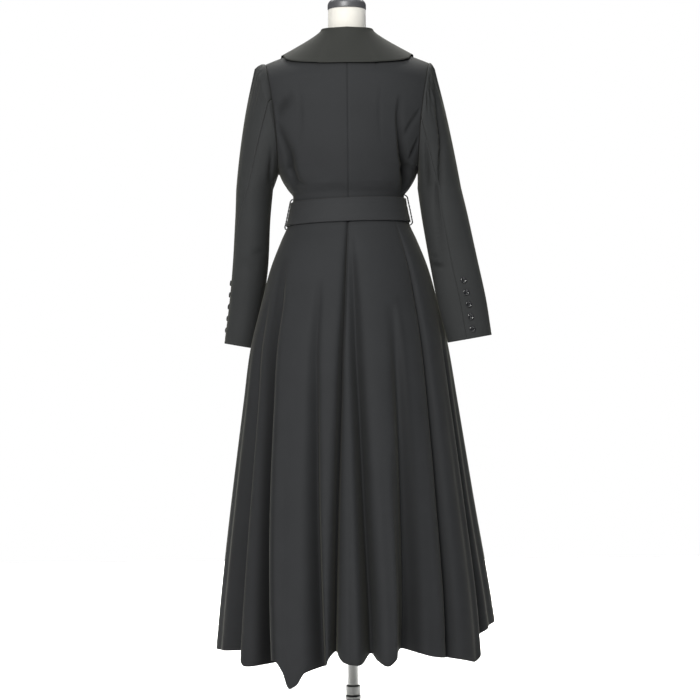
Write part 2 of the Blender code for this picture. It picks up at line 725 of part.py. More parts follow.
def waist_section(height):
    """Half width, back depth and front depth of the cloth under the belt."""
    rise = np.interp(height, SIDE_SEAM["z"], SIDE_SEAM["rise"])
    drop = WAIST_Z - height
    above = height > WAIST_Z
    return (
        np.where(above, follow(SIDE_SEAM, "x", rise), follow(SKIRT, "half_width", drop)),
        np.where(above, follow(BACK, "depth", rise), follow(SKIRT, "back", drop)),
        np.where(above, follow(FRONT, "depth", rise), follow(SKIRT, "front", drop)),
    )


def belt(angle, up):
    """Outside of the belt: the cloth under it moved out, a little lower on the left."""
    turn = np.radians(angle)
    level = WAIST_Z + (up - 0.5) * BELT_WIDTH
    height = level + BELT_TILT * SIDE_SEAM["x"][0] * np.sin(turn)
    half_width, back, front = waist_section(height)
    lift = BELT_GAP + BELT_CLOTH
    depth = np.where(np.cos(turn) > 0, back, front) + lift
    return np.stack([(half_width + lift) * np.sin(turn), -depth * np.cos(turn), height], axis=-1)


def tail(which):
    """Outside of a belt tail: the right front of the skirt below the knot, moved out."""

    def surface(across, along):
        down = (BELT_WIDTH * TAIL_TOP + along * TAIL_LENGTH[which]) / (WAIST_Z - HEM["height"][0])
        x = TAIL_START[which] + TAIL_LEAN[which] * along * TAIL_LENGTH[which] + (across - 0.5) * BELT_WIDTH
        half_width = follow(SKIRT, "half_width", down * (WAIST_Z - HEM["height"][0]))
        column = 180 - np.degrees(np.arcsin(x / half_width))
        point = skirt(column, down)
        out = -normals(skirt, column, down, 1e-3)
        return point + TAIL_LIFT[which] * out

    return surface


def turned(name, profile, steps, finish):
    """A solid of revolution about Z from a profile of radius and height, top to bottom."""
    mesh = bpy.data.meshes.new(name)
    points = [(radius, 0, height) for radius, height in profile]
    mesh.from_pydata(points, [(i, i + 1) for i in range(len(points) - 1)], [])
    made = add_object(name, mesh, finish)
    screw = made.modifiers.new("turn", "SCREW")
    screw.steps = steps
    screw.render_steps = steps
    screw.use_merge_vertices = True
    screw.merge_threshold = 0.00005
    screw.use_smooth_shade = True
    return made


def neck_places():
    """Columns of the back along the neckline, evenly spaced round its curve."""
    return COLLAR_SHOULDER * np.sin(np.linspace(0, np.pi / 2, 7))


def make_bodice(finish):
    seam_across = SEAM_GAP / 2 / PANEL_WIDTH
    seam_rise = SEAM_GAP / 2 / PANEL_HEIGHT
    rises = np.concatenate([
        [seam_rise], LOWER_RISES, UPPER_RISES[:-1], [1 - seam_rise]
    ])
    back = np.concatenate([
        [seam_across], neck_places()[1:], np.linspace(COLLAR_SHOULDER, 1 - seam_across, 9)[1:]
    ])
    front = np.linspace(0, 1 - seam_across, 9)
    for side, label in ((-1, "left"), (1, "right")):
        bodice_panel("bodice_back_" + label, "back", side, back, rises, finish)
        bodice_panel("bodice_front_" + label, "front", side, front, rises, finish)


def make_skirt(finish):
    """Two backs that meet in the centre pleat and two fronts, the left one tucked under the right."""
    gap = SKIRT_SEAM_GAP
    pieces = (
        ("skirt_front_left", -180 - WRAP, -90 - gap, 11, WRAP_TUCK),
        ("skirt_back_left", -90 + gap, PLEAT_ANGLE - gap, 7, 0.0),
        ("skirt_back_right", PLEAT_ANGLE + gap, 90 - gap, 7, 0.0),
        ("skirt_front_right", 90 + gap, 180 + WRAP, 11, 0.0),
    )
    for name, first, last, step, tuck in pieces:
        columns = fold_columns(first, last, step)
        panel(name, lambda column, down: skirt(column, down, tuck), columns, SKIRT_ROWS, -1, finish)


def make_sleeves(finish):
    alongs = np.concatenate([SLEEVE_CAP * CAP_ROWS, ARM_ROWS])
    across = {
        which: np.linspace(SLEEVE_SEAM_GAP, 1 - SLEEVE_SEAM_GAP, count)
        for which, count in SLEEVE_COLUMNS.items()
    }
    for side, label in ((-1, "left"), (1, "right")):
        panel("sleeve_upper_" + label, upper_sleeve(side), across["upper"], alongs, side, finish)
        panel("sleeve_under_" + label, under_sleeve(side), across["under"], alongs, side, finish)


def make_collar(finish):
    rises = np.append(UPPER_RISES[-2:0:-1], COLLAR_END_RISE)
    lapel_places = COLLAR_SHOULDER + (1 - COLLAR_SHOULDER) * (1 - rises) / (1 - COLLAR_END_RISE)
    half = np.concatenate([neck_places(), lapel_places])
    places = np.concatenate([-half[:0:-1], half])
    panel("collar", collar, places, COLLAR_SECTIONS, -1, finish, step=COLLAR_STEP)


def make_belt(finish):
    angles = np.arange(0, 360, BELT_STEP)
    panel("belt", belt, angles, np.linspace(0, 1, 4), 1, finish, BELT_CLOTH, closed=True)
    across = np.linspace(0, 1, 5)
    along = np.linspace(0, 1, 9)
    for which in TAIL_LENGTH:
        panel("belt_tail_" + which, tail(which), across, along, 1, finish, BELT_CLOTH)
    make_knot(finish)


def make_knot(finish):
    """The tied knot: a rounded lump of cloth that sits on the front of the belt."""
    mesh = bpy.data.meshes.new("belt_knot")
    cage = bmesh.new()
    bmesh.ops.create_cube(cage, size=1)
    bmesh.ops.scale(cage, vec=KNOT_SIZE, verts=cage.verts)
    cage.to_mesh(mesh)
    cage.free()
    mesh.shade_smooth()
    knot = add_object("belt_knot", mesh, finish)
    soft = knot.modifiers.new("round", "SUBSURF")
    soft.levels = 2
    soft.render_levels = 2
    front = belt(np.array(180.0), np.array(0.5))
    knot.location = (front[0], front[1] + SEAM_GAP + KNOT_SIZE[1] * KNOT_OUT, front[2])


def make_loops(finish):
    """Thread loops that hold the belt at the sides; the right one is slack and stands off it."""
    cover = BELT_GAP + BELT_CLOTH - SEAM_GAP
    for side, label in ((-1, "left"), (1, "right")):
        out = LOOP_RADIUS + SEAM_GAP - cover + LOOP["level"] * (cover + LOOP_SLACK[side])
        angles = np.full(len(out), side * LOOP_ANGLE)
        points = belt(angles, LOOP["up"]) + out[:, None] * (side, -0.1, 0)
        curve = bpy.data.curves.new("belt_loop_" + label, "CURVE")
        curve.dimensions = "3D"
        curve.bevel_depth = LOOP_RADIUS
        curve.bevel_resolution = 1
        curve.use_fill_caps = True
        spline = curve.splines.new("POLY")
        spline.points.add(len(points) - 1)
        for point, place in zip(spline.points, points):
            point.co = (*place, 1)
        add_object("belt_loop_" + label, curve, finish)


def button_seat(side, height):
    """The place of a button on the upper sleeve and the way that it faces."""
    rows = SLEEVES[side]
    drop = np.interp(-height, -rows["z"], rows["drop"])
    along = np.array(SLEEVE_CAP + (1 - SLEEVE_CAP) * drop)
    angle = seam_angle(side, along) - BUTTON_FROM_SEAM
    out = side * normals(lambda a, b: sleeve(side, a, b), angle, along)
    return Vector(sleeve(side, angle, along) + SEAM_GAP * out), Vector(out)


def make_buttons(finish):
    """Five buttons on each cuff, sewn on the upper sleeve beside the back seam."""
    profile = list(zip(BUTTON_RADIUS * BUTTON_PROFILE["share"], BUTTON_PROFILE["height"]))
    for side, label in ((-1, "left"), (1, "right")):
        for i in range(BUTTON_COUNT):
            seat, out = button_seat(side, BUTTON_FIRST_Z - i * BUTTON_STEP)
            button = turned(f"button_{label}_{i + 1}", profile, BUTTON_SIDES, finish)
            facing = out.to_track_quat("Z", "Y").to_matrix().to_4x4()
            button.matrix_world = Matrix.Translation(seat) @ facing


def form_rings(turn, height):
    """Rings of the torso: ellipses with their own depth at the back and front, pinched by the taper."""
    depth = np.where(np.cos(turn) > 0, follow(FORM, "back", height), follow(FORM, "front", height))
    taper = follow(FORM, "taper", height)
    x = follow(FORM, "half_width", height) * np.sign(np.sin(turn)) * np.abs(np.sin(turn)) ** taper
    y = follow(FORM, "y", height) - depth * np.sign(np.cos(turn)) * np.abs(np.cos(turn)) ** taper
    return np.stack([x, y, height], axis=-1)


def make_form(cover, cap_finish):
    """The torso and neck, closed below the hip, and the cap on the neck."""
    angles = np.linspace(0, 2 * np.pi, FORM_SIDES, endpoint=False)
    heights = np.sort(np.concatenate([FORM["z"], (FORM["z"][7:11] + FORM["z"][8:12]) / 2]))
    rings = form_rings(*np.meshgrid(angles, heights))
    number = np.arange(rings.shape[0] * FORM_SIDES).reshape(-1, FORM_SIDES)
    number = np.hstack([number, number[:, :1]])
    faces = [face for i in range(len(heights) - 1) for face in strip(number[i], number[i + 1])]
    faces += [number[0, -2::-1], number[-1, :-1]]
    add_mesh("form_torso", rings, faces, cover)
    low = FORM["z"][-1] + SEAM_GAP
    profile = list(zip(CAP_RADIUS * CAP_DOME["share"], low + CAP_HEIGHT - CAP_DOME["depth"]))
    profile += [(CAP_RADIUS, low + 0.001), (0.97 * CAP_RADIUS, low), (0, low)]
    turned("form_neck_cap", profile, FORM_SIDES, cap_finish)


def rod(low, high, radius, edge):
    """Profile of a round bar with small bevels at both ends, top to bottom."""
    return [
        (0, high),
        (radius - edge, high),
        (radius, high - edge),
        (radius, low + edge),
        (radius - edge, low),
        (0, low),
    ]


def make_stand(steel, dark):
    """A round base plate, a socket with a clamp ring, and the pole that carries the torso."""
    edge = STAND_EDGE
    base = [
        (0, BASE_HEIGHT),
        (BASE_RADIUS - 3 * edge, BASE_HEIGHT),
        (BASE_RADIUS, BASE_HEIGHT - 2 * edge),
        (BASE_RADIUS, edge),
        (BASE_RADIUS - edge, 0),
        (0, 0),
    ]
    low = BASE_HEIGHT + SEAM_GAP
    socket = [(0, SOCKET_TOP), (SOCKET_RADIUS - edge, SOCKET_TOP), (SOCKET_RADIUS, SOCKET_TOP - edge)]
    socket += list(zip(SOCKET_RADIUS * FLANGE["share"], FLANGE["height"]))
    socket += [(FLANGE_SHARE * SOCKET_RADIUS, low), (0, low)]
    ring = rod(SOCKET_TOP + SEAM_GAP, RING_TOP, RING_RADIUS, edge)
    low = RING_TOP + SEAM_GAP
    high = FORM["z"][0] - SEAM_GAP
    pole = [(0, high), (POLE_RADIUS, high), (POLE_RADIUS, low), (0, low)]
    turned("stand_base", base, 48, dark)
    turned("stand_socket", socket, 24, steel)
    turned("stand_ring", ring, 24, steel)
    turned("stand_pole", pole, 24, steel)


for old in list(bpy.data.objects):
    bpy.data.objects.remove(old, do_unlink=True)
collection = bpy.data.collections.new("belted_long_coat")
bpy.context.scene.collection.children.link(collection)

coat_cloth = material("charcoal_suiting", COAT_COLOUR, 0.75)
button_finish = material("black_button", BUTTON_COLOUR, 0.3)
form_cover = material("cream_form_cover", FORM_COLOUR, 0.85)
steel_finish = material("grey_steel", STEEL_COLOUR, 0.35, 1.0)
dark_finish = material("dark_steel", DARK_STEEL_COLOUR, 0.4, 1.0)

make_stand(steel_finish, dark_finish)
make_form(form_cover, dark_finish)
make_bodice(coat_cloth)
make_skirt(coat_cloth)
make_sleeves(coat_cloth)
make_collar(coat_cloth)
make_belt(coat_cloth)
make_loops(coat_cloth)
make_buttons(button_finish)
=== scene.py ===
"""Looks of a belted long coat on a dress form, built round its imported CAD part.

Metres, +Z up, origin on the floor under the pole. The back of the coat faces the camera along -Y, its
front faces +Y, and the wearer's right side is +X.
"""

import math

import bpy
import numpy as np
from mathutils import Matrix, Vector


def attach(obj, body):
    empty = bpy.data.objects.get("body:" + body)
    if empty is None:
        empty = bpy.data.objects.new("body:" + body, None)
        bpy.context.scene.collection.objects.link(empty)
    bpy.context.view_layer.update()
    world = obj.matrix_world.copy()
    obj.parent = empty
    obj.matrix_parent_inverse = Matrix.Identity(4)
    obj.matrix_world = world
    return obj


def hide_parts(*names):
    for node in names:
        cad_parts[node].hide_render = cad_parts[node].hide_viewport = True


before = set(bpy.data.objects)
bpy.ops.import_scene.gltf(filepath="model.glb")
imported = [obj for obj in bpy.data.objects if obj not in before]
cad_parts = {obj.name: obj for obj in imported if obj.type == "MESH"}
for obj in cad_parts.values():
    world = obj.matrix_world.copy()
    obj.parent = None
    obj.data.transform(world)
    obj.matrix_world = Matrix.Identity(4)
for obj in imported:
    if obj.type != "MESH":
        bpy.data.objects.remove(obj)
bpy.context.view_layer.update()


# Camera, floor and light
# A level camera behind the coat, turned a little about its own axis as in the photograph. A large lamp near
# the camera lights the coat, one high above lights the shoulders, and one over the far floor keeps it white.
CAMERA_PLACE = (0.0, -3.75, 0.807)
CAMERA_LENS = 90.5
CAMERA_ROLL = math.radians(0.54)
FLOOR_SIZE = 6.0
FLOOR_COLOUR = (0.90, 0.90, 0.90, 1)
FLOOR_ROUGHNESS = 0.9
BACKGROUND = (1.0, 1.0, 1.0, 1)
ROOM_LIGHT = (0.135, 0.142, 0.158, 1)
LAMP_COLUMNS = "x y z aim_y aim_z size power spread red green blue"
LAMPS = {
    "key": (-0.95, -3.2, 2.5, 0.0, 0.9, 1.4, 186, 180, 1.00, 1.00, 0.97),
    "fill": (0.6, -1.0, 4.0, 0.0, 1.3, 1.5, 36, 180, 0.98, 1.00, 1.00),
    "back": (0.0, 2.6, 3.2, 2.2, 0.0, 3.0, 230, 105, 1.00, 1.00, 0.98),
}


def principled(name, colour, roughness):
    """A new material with its shader, node tree and a function that adds a node and sets its inputs."""
    made = bpy.data.materials.new(name)
    made.use_nodes = True
    tree = made.node_tree
    shader = tree.nodes["Principled BSDF"]
    shader.inputs["Base Color"].default_value = colour
    shader.inputs["Roughness"].default_value = roughness

    def node(kind, **inputs):
        new = tree.nodes.new(kind)
        for key, value in inputs.items():
            new.inputs[key.replace("_", " ")].default_value = value
        return new

    return made, shader, tree.links.new, node


scene = bpy.context.scene
scene.view_settings.view_transform = "Standard"
scene.view_settings.look = "None"
camera_data = bpy.data.cameras.new("camera")
camera_data.lens = CAMERA_LENS
camera = bpy.data.objects.new("camera", camera_data)
camera.location = CAMERA_PLACE
camera.rotation_euler = (math.pi / 2, CAMERA_ROLL, 0)
scene.collection.objects.link(camera)
scene.camera = camera

world = bpy.data.worlds.new("surround")
world.use_nodes = True
room = world.node_tree.nodes["Background"]
room.inputs["Color"].default_value = ROOM_LIGHT
paper = world.node_tree.nodes.new("ShaderNodeBackground")
paper.inputs["Color"].default_value = BACKGROUND
rays = world.node_tree.nodes.new("ShaderNodeLightPath")
either = world.node_tree.nodes.new("ShaderNodeMixShader")
for source, target in (
    (rays.outputs["Is Camera Ray"], either.inputs["Fac"]),
    (room.outputs["Background"], either.inputs[1]),
    (paper.outputs["Background"], either.inputs[2]),
    (either.outputs["Shader"], world.node_tree.nodes["World Output"].inputs["Surface"]),
):
    world.node_tree.links.new(source, target)
scene.world = world
for label, values in LAMPS.items():
    lamp = dict(zip(LAMP_COLUMNS.split(), values))
    light = bpy.data.lights.new(label, "AREA")
    light.size = lamp["size"]
    light.energy = lamp["power"]
    light.spread = math.radians(lamp["spread"])
    light.color = (lamp["red"], lamp["green"], lamp["blue"])
    holder = bpy.data.objects.new(label, light)
    holder.location = (lamp["x"], lamp["y"], lamp["z"])
    holder.visible_camera = False
    aim = Vector((0, lamp["aim_y"], lamp["aim_z"])) - holder.location
    holder.rotation_euler = aim.to_track_quat("-Z", "Y").to_euler()
    scene.collection.objects.link(holder)

bpy.ops.mesh.primitive_plane_add(size=FLOOR_SIZE)
floor = bpy.context.object
floor.name = "floor"
floor_paint, *_ = principled("pale_floor", FLOOR_COLOUR, FLOOR_ROUGHNESS)
floor.data.materials.append(floor_paint)


# Pole stand
# A round steel base plate, a cast socket with a clamp ring, and a drawn tube that carries the torso.
# Turned or drawn parts with broken edges; the plate is painted, the rest is brushed.
POLE_RADIUS = 0.011
SOCKET_TOP = 0.072
SOCKET_RADIUS = 0.0165
RING_TOP = 0.0935
RING_RADIUS = 0.0155
BASE_RADIUS = 0.165
BASE_HEIGHT = 0.010
FLANGE_TOP = 0.024
FLANGE_EDGE = 0.016
FLANGE_SHARE = 2.1
STAND_GAP = 0.0003
STAND_EDGE = 0.0015
FORM_LOW = 0.900
TURNED_SIDES = 96
WELD_REACH = 0.00003
STEEL = (0.24, 0.24, 0.233, 1)
DARK_STEEL = (0.075, 0.075, 0.08, 1)


def quads(rows, columns):
    """Corner numbers of the quads of a grid, row by row."""
    number = np.arange(rows * columns).reshape(rows, columns)
    corners = [number[:-1, :-1], number[:-1, 1:], number[1:, 1:], number[1:, :-1]]
    return np.stack(corners, axis=-1).reshape(-1, 4)


def add_piece(name, points, faces, finish, uv=None, shade=None):
    """A smooth mesh object from points and quads, with a flat place and a painted shade for each point."""
    mesh = bpy.data.meshes.new(name)
    mesh.from_pydata(points.reshape(-1, 3), [], faces)
    if uv is not None:
        corner = np.empty(len(mesh.loops), dtype=np.int32)
        mesh.loops.foreach_get("vertex_index", corner)
        layer = mesh.uv_layers.new(name="cut")
        layer.data.foreach_set("uv", uv.reshape(-1, 2)[corner].astype(np.float32).ravel())
    if shade is not None:
        layer = mesh.attributes.new("shade", "FLOAT", "POINT")
        layer.data.foreach_set("value", shade.astype(np.float32).ravel())
    mesh.shade_smooth()
    mesh.materials.append(finish)
    piece = bpy.data.objects.new(name, mesh)
    scene.collection.objects.link(piece)
    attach(piece, "root")
    return piece


def rounded(profile, radius=0.0008, steps=4, most=0.45):
    """The profile with a short quadratic curve at every inner corner, on at most a share of each side."""
    profile = np.array(profile, dtype=float)
    start, corner, end = profile[:-2], profile[1:-1], profile[2:]
    before = np.linalg.norm(start - corner, axis=1, keepdims=True)
    after = np.linalg.norm(end - corner, axis=1, keepdims=True)
    low = corner + (start - corner) * np.minimum(radius / before, most)
    high = corner + (end - corner) * np.minimum(radius / after, most)
    t = np.linspace(0, 1, steps + 1)[None, :, None]
    curve = low[:, None] * (1 - t) ** 2 + corner[:, None] * 2 * t * (1 - t) + high[:, None] * t**2
    return np.vstack([profile[:1], curve.reshape(-1, 2), profile[-1:]])


def turned(name, profile, finish, sides=TURNED_SIDES):
    """A profile of radius and height, top to bottom, turned about Z: x = r sin a and y = -r cos a."""
    profile = rounded(profile)
    turn = np.linspace(0, 2 * np.pi, sides + 1)
    radius = np.maximum(profile[:, :1], 1e-5)
    height = np.broadcast_to(profile[:, 1:], (len(profile), sides + 1))
    points = np.stack([radius * np.sin(turn), -radius * np.cos(turn), height], axis=-1)
    piece = add_piece(name, points, quads(len(profile), sides + 1)[:, ::-1], finish)
    piece.modifiers.new("weld", "WELD").merge_threshold = WELD_REACH
    return piece


def brushed_metal(name, colour, roughness, metallic, stretch):
    """Metal whose roughness and height vary along fine scratches, drawn out by the stretch on X, Y and Z."""
    made, shader, link, node = principled(name, colour, roughness)
    shader.inputs["Metallic"].default_value = metallic
    place = node("ShaderNodeTexCoord")
    scale = node("ShaderNodeMapping", Scale=stretch)
    grain = node("ShaderNodeTexNoise", Scale=1.0, Detail=4.0, Roughness=0.6)
    spread = node("ShaderNodeMapRange", To_Min=roughness - 0.08, To_Max=roughness + 0.10)
    bump = node("ShaderNodeBump", Strength=0.08, Distance=0.0002)
    link(place.outputs["Object"], scale.inputs["Vector"])
    link(scale.outputs["Vector"], grain.inputs["Vector"])
    link(grain.outputs["Fac"], spread.inputs["Value"])
    link(spread.outputs["Result"], shader.inputs["Roughness"])
    link(grain.outputs["Fac"], bump.inputs["Height"])
    link(bump.outputs["Normal"], shader.inputs["Normal"])
    return made


steel = brushed_metal("brushed_steel", STEEL, roughness=0.34, metallic=1.0, stretch=(900, 900, 25))
dark_steel = brushed_metal("dark_enamel", DARK_STEEL, roughness=0.42, metallic=0.3, stretch=(700, 700, 700))
STAND = {
    "stand_base": (dark_steel, (
        (0, BASE_HEIGHT),
        (BASE_RADIUS - 3 * STAND_EDGE, BASE_HEIGHT),
        (BASE_RADIUS, BASE_HEIGHT - 2 * STAND_EDGE),
        (BASE_RADIUS, STAND_EDGE),
        (BASE_RADIUS - STAND_EDGE, 0),
        (0, 0),
    )),
    "stand_socket": (steel, (
        (0, SOCKET_TOP),
        (SOCKET_RADIUS - STAND_EDGE, SOCKET_TOP),
        (SOCKET_RADIUS, SOCKET_TOP - STAND_EDGE),
        (SOCKET_RADIUS, SOCKET_TOP - 5 * STAND_EDGE),
        (SOCKET_RADIUS - STAND_EDGE / 2, SOCKET_TOP - 6 * STAND_EDGE),
        (SOCKET_RADIUS - STAND_EDGE / 2, FLANGE_TOP),
        (2 * SOCKET_RADIUS, FLANGE_EDGE),
        (FLANGE_SHARE * SOCKET_RADIUS, BASE_HEIGHT + STAND_GAP),
        (0, BASE_HEIGHT + STAND_GAP),
    )),
    "stand_ring": (steel, (
        (0, RING_TOP),
        (RING_RADIUS - STAND_EDGE, RING_TOP),
        (RING_RADIUS, RING_TOP - STAND_EDGE),
        (RING_RADIUS, SOCKET_TOP + STAND_GAP + STAND_EDGE),
        (RING_RADIUS - STAND_EDGE, SOCKET_TOP + STAND_GAP),
        (0, SOCKET_TOP + STAND_GAP),
    )),
    "stand_pole": (steel, (
        (0, FORM_LOW - STAND_GAP),
        (POLE_RADIUS, FORM_LOW - STAND_GAP),
        (POLE_RADIUS, RING_TOP + STAND_GAP),
        (0, RING_TOP + STAND_GAP),
    )),
}
for node_name, (metal, profile) in STAND.items():
    piece = turned(node_name + "_finish", profile, metal)
    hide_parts(node_name)


# Dress form
# A padded torso without limbs, covered in cream jersey that is sewn in long panels and drawn smooth. A
# turned and painted metal cap closes the neck.
FORM_COLUMNS = "z half_width back front y taper"
FORM_ROWS = (
    (0.900, 0.142, 0.112, 0.108, 0.000, 1.00),
    (0.960, 0.150, 0.118, 0.112, 0.000, 1.00),
    (1.020, 0.140, 0.108, 0.106, 0.000, 1.00),
    (1.060, 0.1240, 0.0950, 0.0950, 0.000, 1.00),
    (1.080, 0.1205, 0.0920, 0.0910, 0.000, 1.00),
    (1.100, 0.1195, 0.0910, 0.0900, 0.000, 1.00),
    (1.133, 0.1140, 0.0870, 0.0870, 0.000, 1.00),
    (1.180, 0.1260, 0.0960, 0.1100, 0.000, 1.00),
    (1.240, 0.1380, 0.1060, 0.1220, 0.000, 1.00),
    (1.300, 0.1420, 0.1080, 0.1080, 0.000, 1.00),
    (1.360, 0.1480, 0.1000, 0.0820, 0.000, 1.00),
    (1.395, 0.1500, 0.0820, 0.0580, -0.004, 1.15),
    (1.415, 0.1420, 0.0600, 0.0340, -0.008, 1.35),
    (1.427, 0.1140, 0.0500, 0.0280, -0.008, 1.35),
    (1.438, 0.0850, 0.0450, 0.0280, -0.008, 1.35),
    (1.448, 0.0590, 0.0420, 0.0300, -0.006, 1.20),
    (1.460, 0.0450, 0.0400, 0.0340, -0.004, 1.00),
    (1.480, 0.0410, 0.0390, 0.0370, -0.002, 1.00),
    (1.531, 0.0400, 0.0390, 0.0390, 0.000, 1.00),
)
FORM_SEAMS = (0, 42, 90, 138, 180, 222, 270, 318)
FORM_SEAM_DEPTH = 0.0006
FORM_SEAM_WIDTH = 0.8
FORM_GRID = (241, 160)
CAP_RADIUS = 0.041
CAP_HEIGHT = 0.030
CAP_DOME = 0.021
CAP_DOME_ANGLE = 84
CAP_SHOULDER = 0.023
CAP_EDGE = 0.001
CAP_FOOT_SHARE = 0.97
CREAM = (0.56, 0.54, 0.50, 1)


def table(columns, *rows):
    """A short table with named columns; its first column is the one that is looked up."""
    return dict(zip(columns.split(), np.array(rows, dtype=float).T))


def follow(rows, column, at):
    """A column's value at a place in the first column, on a monotone cubic through the rows."""
    x = next(iter(rows.values()))
    y = rows[column]
    step = np.diff(x)
    slope = np.diff(y) / step
    product = slope[1:] * slope[:-1]
    total = slope[1:] + slope[:-1]
    bend = np.where(product > 0, 2 * product / np.where(total == 0, 1, total), 0)
    tangent = np.concatenate([slope[:1], bend, slope[-1:]])
    at = np.asarray(at, dtype=float)
    i = np.clip(np.searchsorted(x, at, side="right") - 1, 0, len(step) - 1)
    u = np.clip((at - x[i]) / step[i], 0, 1)
    rest = 1 - u
    start = (1 + 2 * u) * rest**2 * y[i] + u * rest**2 * step[i] * tangent[i]
    return start + (3 - 2 * u) * u**2 * y[i + 1] - u**2 * rest * step[i] * tangent[i + 1]


def form_points(angle, height):
    """Rings of the torso: a half ellipse behind and one in front, pinched in at the panel seams."""
    turn = np.radians(angle)
    depth = np.where(np.cos(turn) > 0, follow(FORM, "back", height), follow(FORM, "front", height))
    taper = follow(FORM, "taper", height)
    away = np.min([np.abs(angle - seam) for seam in (*FORM_SEAMS, 360)], axis=0)
    pinch = FORM_SEAM_DEPTH * np.exp(-((away / FORM_SEAM_WIDTH) ** 2))
    x = (follow(FORM, "half_width", height) - pinch) * np.sign(np.sin(turn)) * np.abs(np.sin(turn)) ** taper
    y = -(depth - pinch) * np.sign(np.cos(turn)) * np.abs(np.cos(turn)) ** taper
    return np.stack([x, y + follow(FORM, "y", height), height], axis=-1)


def jersey(name, colour):
    """Matt knitted cover: fine rows of loops on a cylinder's places, with a little mottling."""
    made, shader, link, node = principled(name, colour, roughness=0.85)
    shader.inputs["Sheen Weight"].default_value = 0.2
    place = node("ShaderNodeTexCoord")
    rows = node("ShaderNodeTexWave", Scale=420.0, Distortion=1.5, Detail=2.0, Detail_Scale=3.0)
    rows.bands_direction = "Z"
    mottle = node("ShaderNodeTexNoise", Scale=60.0, Detail=3.0)
    tint = node("ShaderNodeMapRange", To_Min=0.94, To_Max=1.03)
    shade = node("ShaderNodeVectorMath")
    shade.operation = "SCALE"
    shade.inputs[0].default_value = colour[:3]
    bump = node("ShaderNodeBump", Strength=0.15, Distance=0.0003)
    link(place.outputs["Object"], rows.inputs["Vector"])
    link(place.outputs["Object"], mottle.inputs["Vector"])
    link(mottle.outputs["Fac"], tint.inputs["Value"])
    link(tint.outputs["Result"], shade.inputs["Scale"])
    link(shade.outputs["Vector"], shader.inputs["Base Color"])
    link(rows.outputs["Fac"], bump.inputs["Height"])
    link(bump.outputs["Normal"], shader.inputs["Normal"])
    return made


FORM = table(FORM_COLUMNS, *FORM_ROWS)
round_steps = np.linspace(0, 360, FORM_GRID[0])
angles, heights = np.meshgrid(round_steps, np.linspace(FORM_LOW, FORM["z"][-1], FORM_GRID[1]))
rings = form_points(angles, heights)
lids = [rings[:1] * (0, 0, 1), rings[-1:] * (0, 0, 1)]
rings = np.concatenate([lids[0], rings, lids[1]])
torso = add_piece("form_torso_cover", rings, quads(len(rings), FORM_GRID[0]), jersey("cream_jersey", CREAM))
torso.modifiers.new("weld", "WELD").merge_threshold = WELD_REACH
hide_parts("form_torso")

cap_low = FORM["z"][-1] + STAND_GAP
cap_high = cap_low + CAP_HEIGHT
dome = np.radians(np.linspace(0, CAP_DOME_ANGLE, 12))
cap_profile = [(CAP_RADIUS * math.sin(a), cap_high - CAP_DOME * (1 - math.cos(a))) for a in dome]
cap_profile += [(CAP_RADIUS, low) for low in (cap_high - CAP_SHOULDER, cap_low + CAP_EDGE)]
cap_profile += [(CAP_FOOT_SHARE * CAP_RADIUS, cap_low), (0, cap_low)]
cap = turned("form_neck_cap_finish", cap_profile, dark_steel)
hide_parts("form_neck_cap")


# Bodice
# Two backs joined by a centre seam and two wrapped fronts of charcoal wool suiting, sewn at the sides and
# shoulders, with an allowance turned into the sleeves. Soft folds drag across it, and it blouses at the belt.
CLOTH = 0.002
SEAM_GAP = 0.0003
WAIST_Z = 1.100
NECK_BACK = np.array([0.0, -0.062, 1.452])
NECK_SIDE = np.array([0.062, -0.012, 1.458])
SHOULDER_TIP = np.array([0.174, -0.004, 1.416])
UNDERARM = np.array([0.148, 0.000, 1.184])
UNDERARM_RISE = 0.3
SHOULDER_RISE = 0.8
SHOULDER_UPRIGHT = np.array([0.39, 0.0, 0.92])
SHOULDER_BLEND = 0.1
NECK_SHARE = 0.3
ARMHOLE_REACH = {"back": 0.072, "front": 0.062}
ARMHOLE_HOLLOW = {"back": 0.007, "front": 0.013}
BACK = table(
    "rise z depth turn",
    (0.000, WAIST_Z, 0.094, 90),
    (0.120, 1.133, 0.091, 90),
    (0.200, 1.158, 0.104, 90),
    (0.300, 1.190, 0.112, 90),
    (0.475, 1.238, 0.118, 76),
    (0.650, 1.312, 0.119, 62),
    (0.825, 1.392, 0.103, 58),
    (1.000, 1.452, 0.062, 60),
)
FRONT = table(
    "rise z depth turn",
    (0.000, WAIST_Z, 0.098, 90),
    (0.120, 1.133, 0.095, 90),
    (0.200, 1.158, 0.110, 90),
    (0.300, 1.195, 0.128, 90),
    (0.475, 1.245, 0.136, 80),
    (0.650, 1.310, 0.124, 68),
    (0.825, 1.375, 0.092, 62),
    (1.000, 1.420, 0.060, 60),
)
SIDE_SEAM = table(
    "rise x z",
    (0.000, 0.1230, WAIST_Z),
    (0.120, 0.1180, 1.133),
    (0.170, 0.1285, 1.148),
    (0.235, 0.1405, 1.167),
    (0.300, 0.1480, 1.184),
)
FRONT_EDGE = table(
    "rise place",
    (0.000, -0.18),
    (0.120, -0.11),
    (0.240, 0.00),
    (0.300, 0.05),
    (0.475, 0.20),
    (0.650, 0.30),
    (0.825, 0.34),
    (1.000, 0.30),
)
WRAP_TUCK = 0.004
# Where the tuck of the left front ends, across and up, and over how much it fades out
TUCK_PLACE = (0.34, 0.2)
TUCK_RISE = (0.42, 0.1)
PANEL = np.array([0.17, 0.36])
CREASE_STEPS = 60
CREASE_COLUMNS = "share place rise depth left right"


def short_fold(start, middle, end, depth, left, right):
    """Rows of a fold that is deepest in its middle and dies out at both ends."""
    return (*start, 0.0, left, right), (*middle, depth, left, right), (*end, 0.0, left, right)


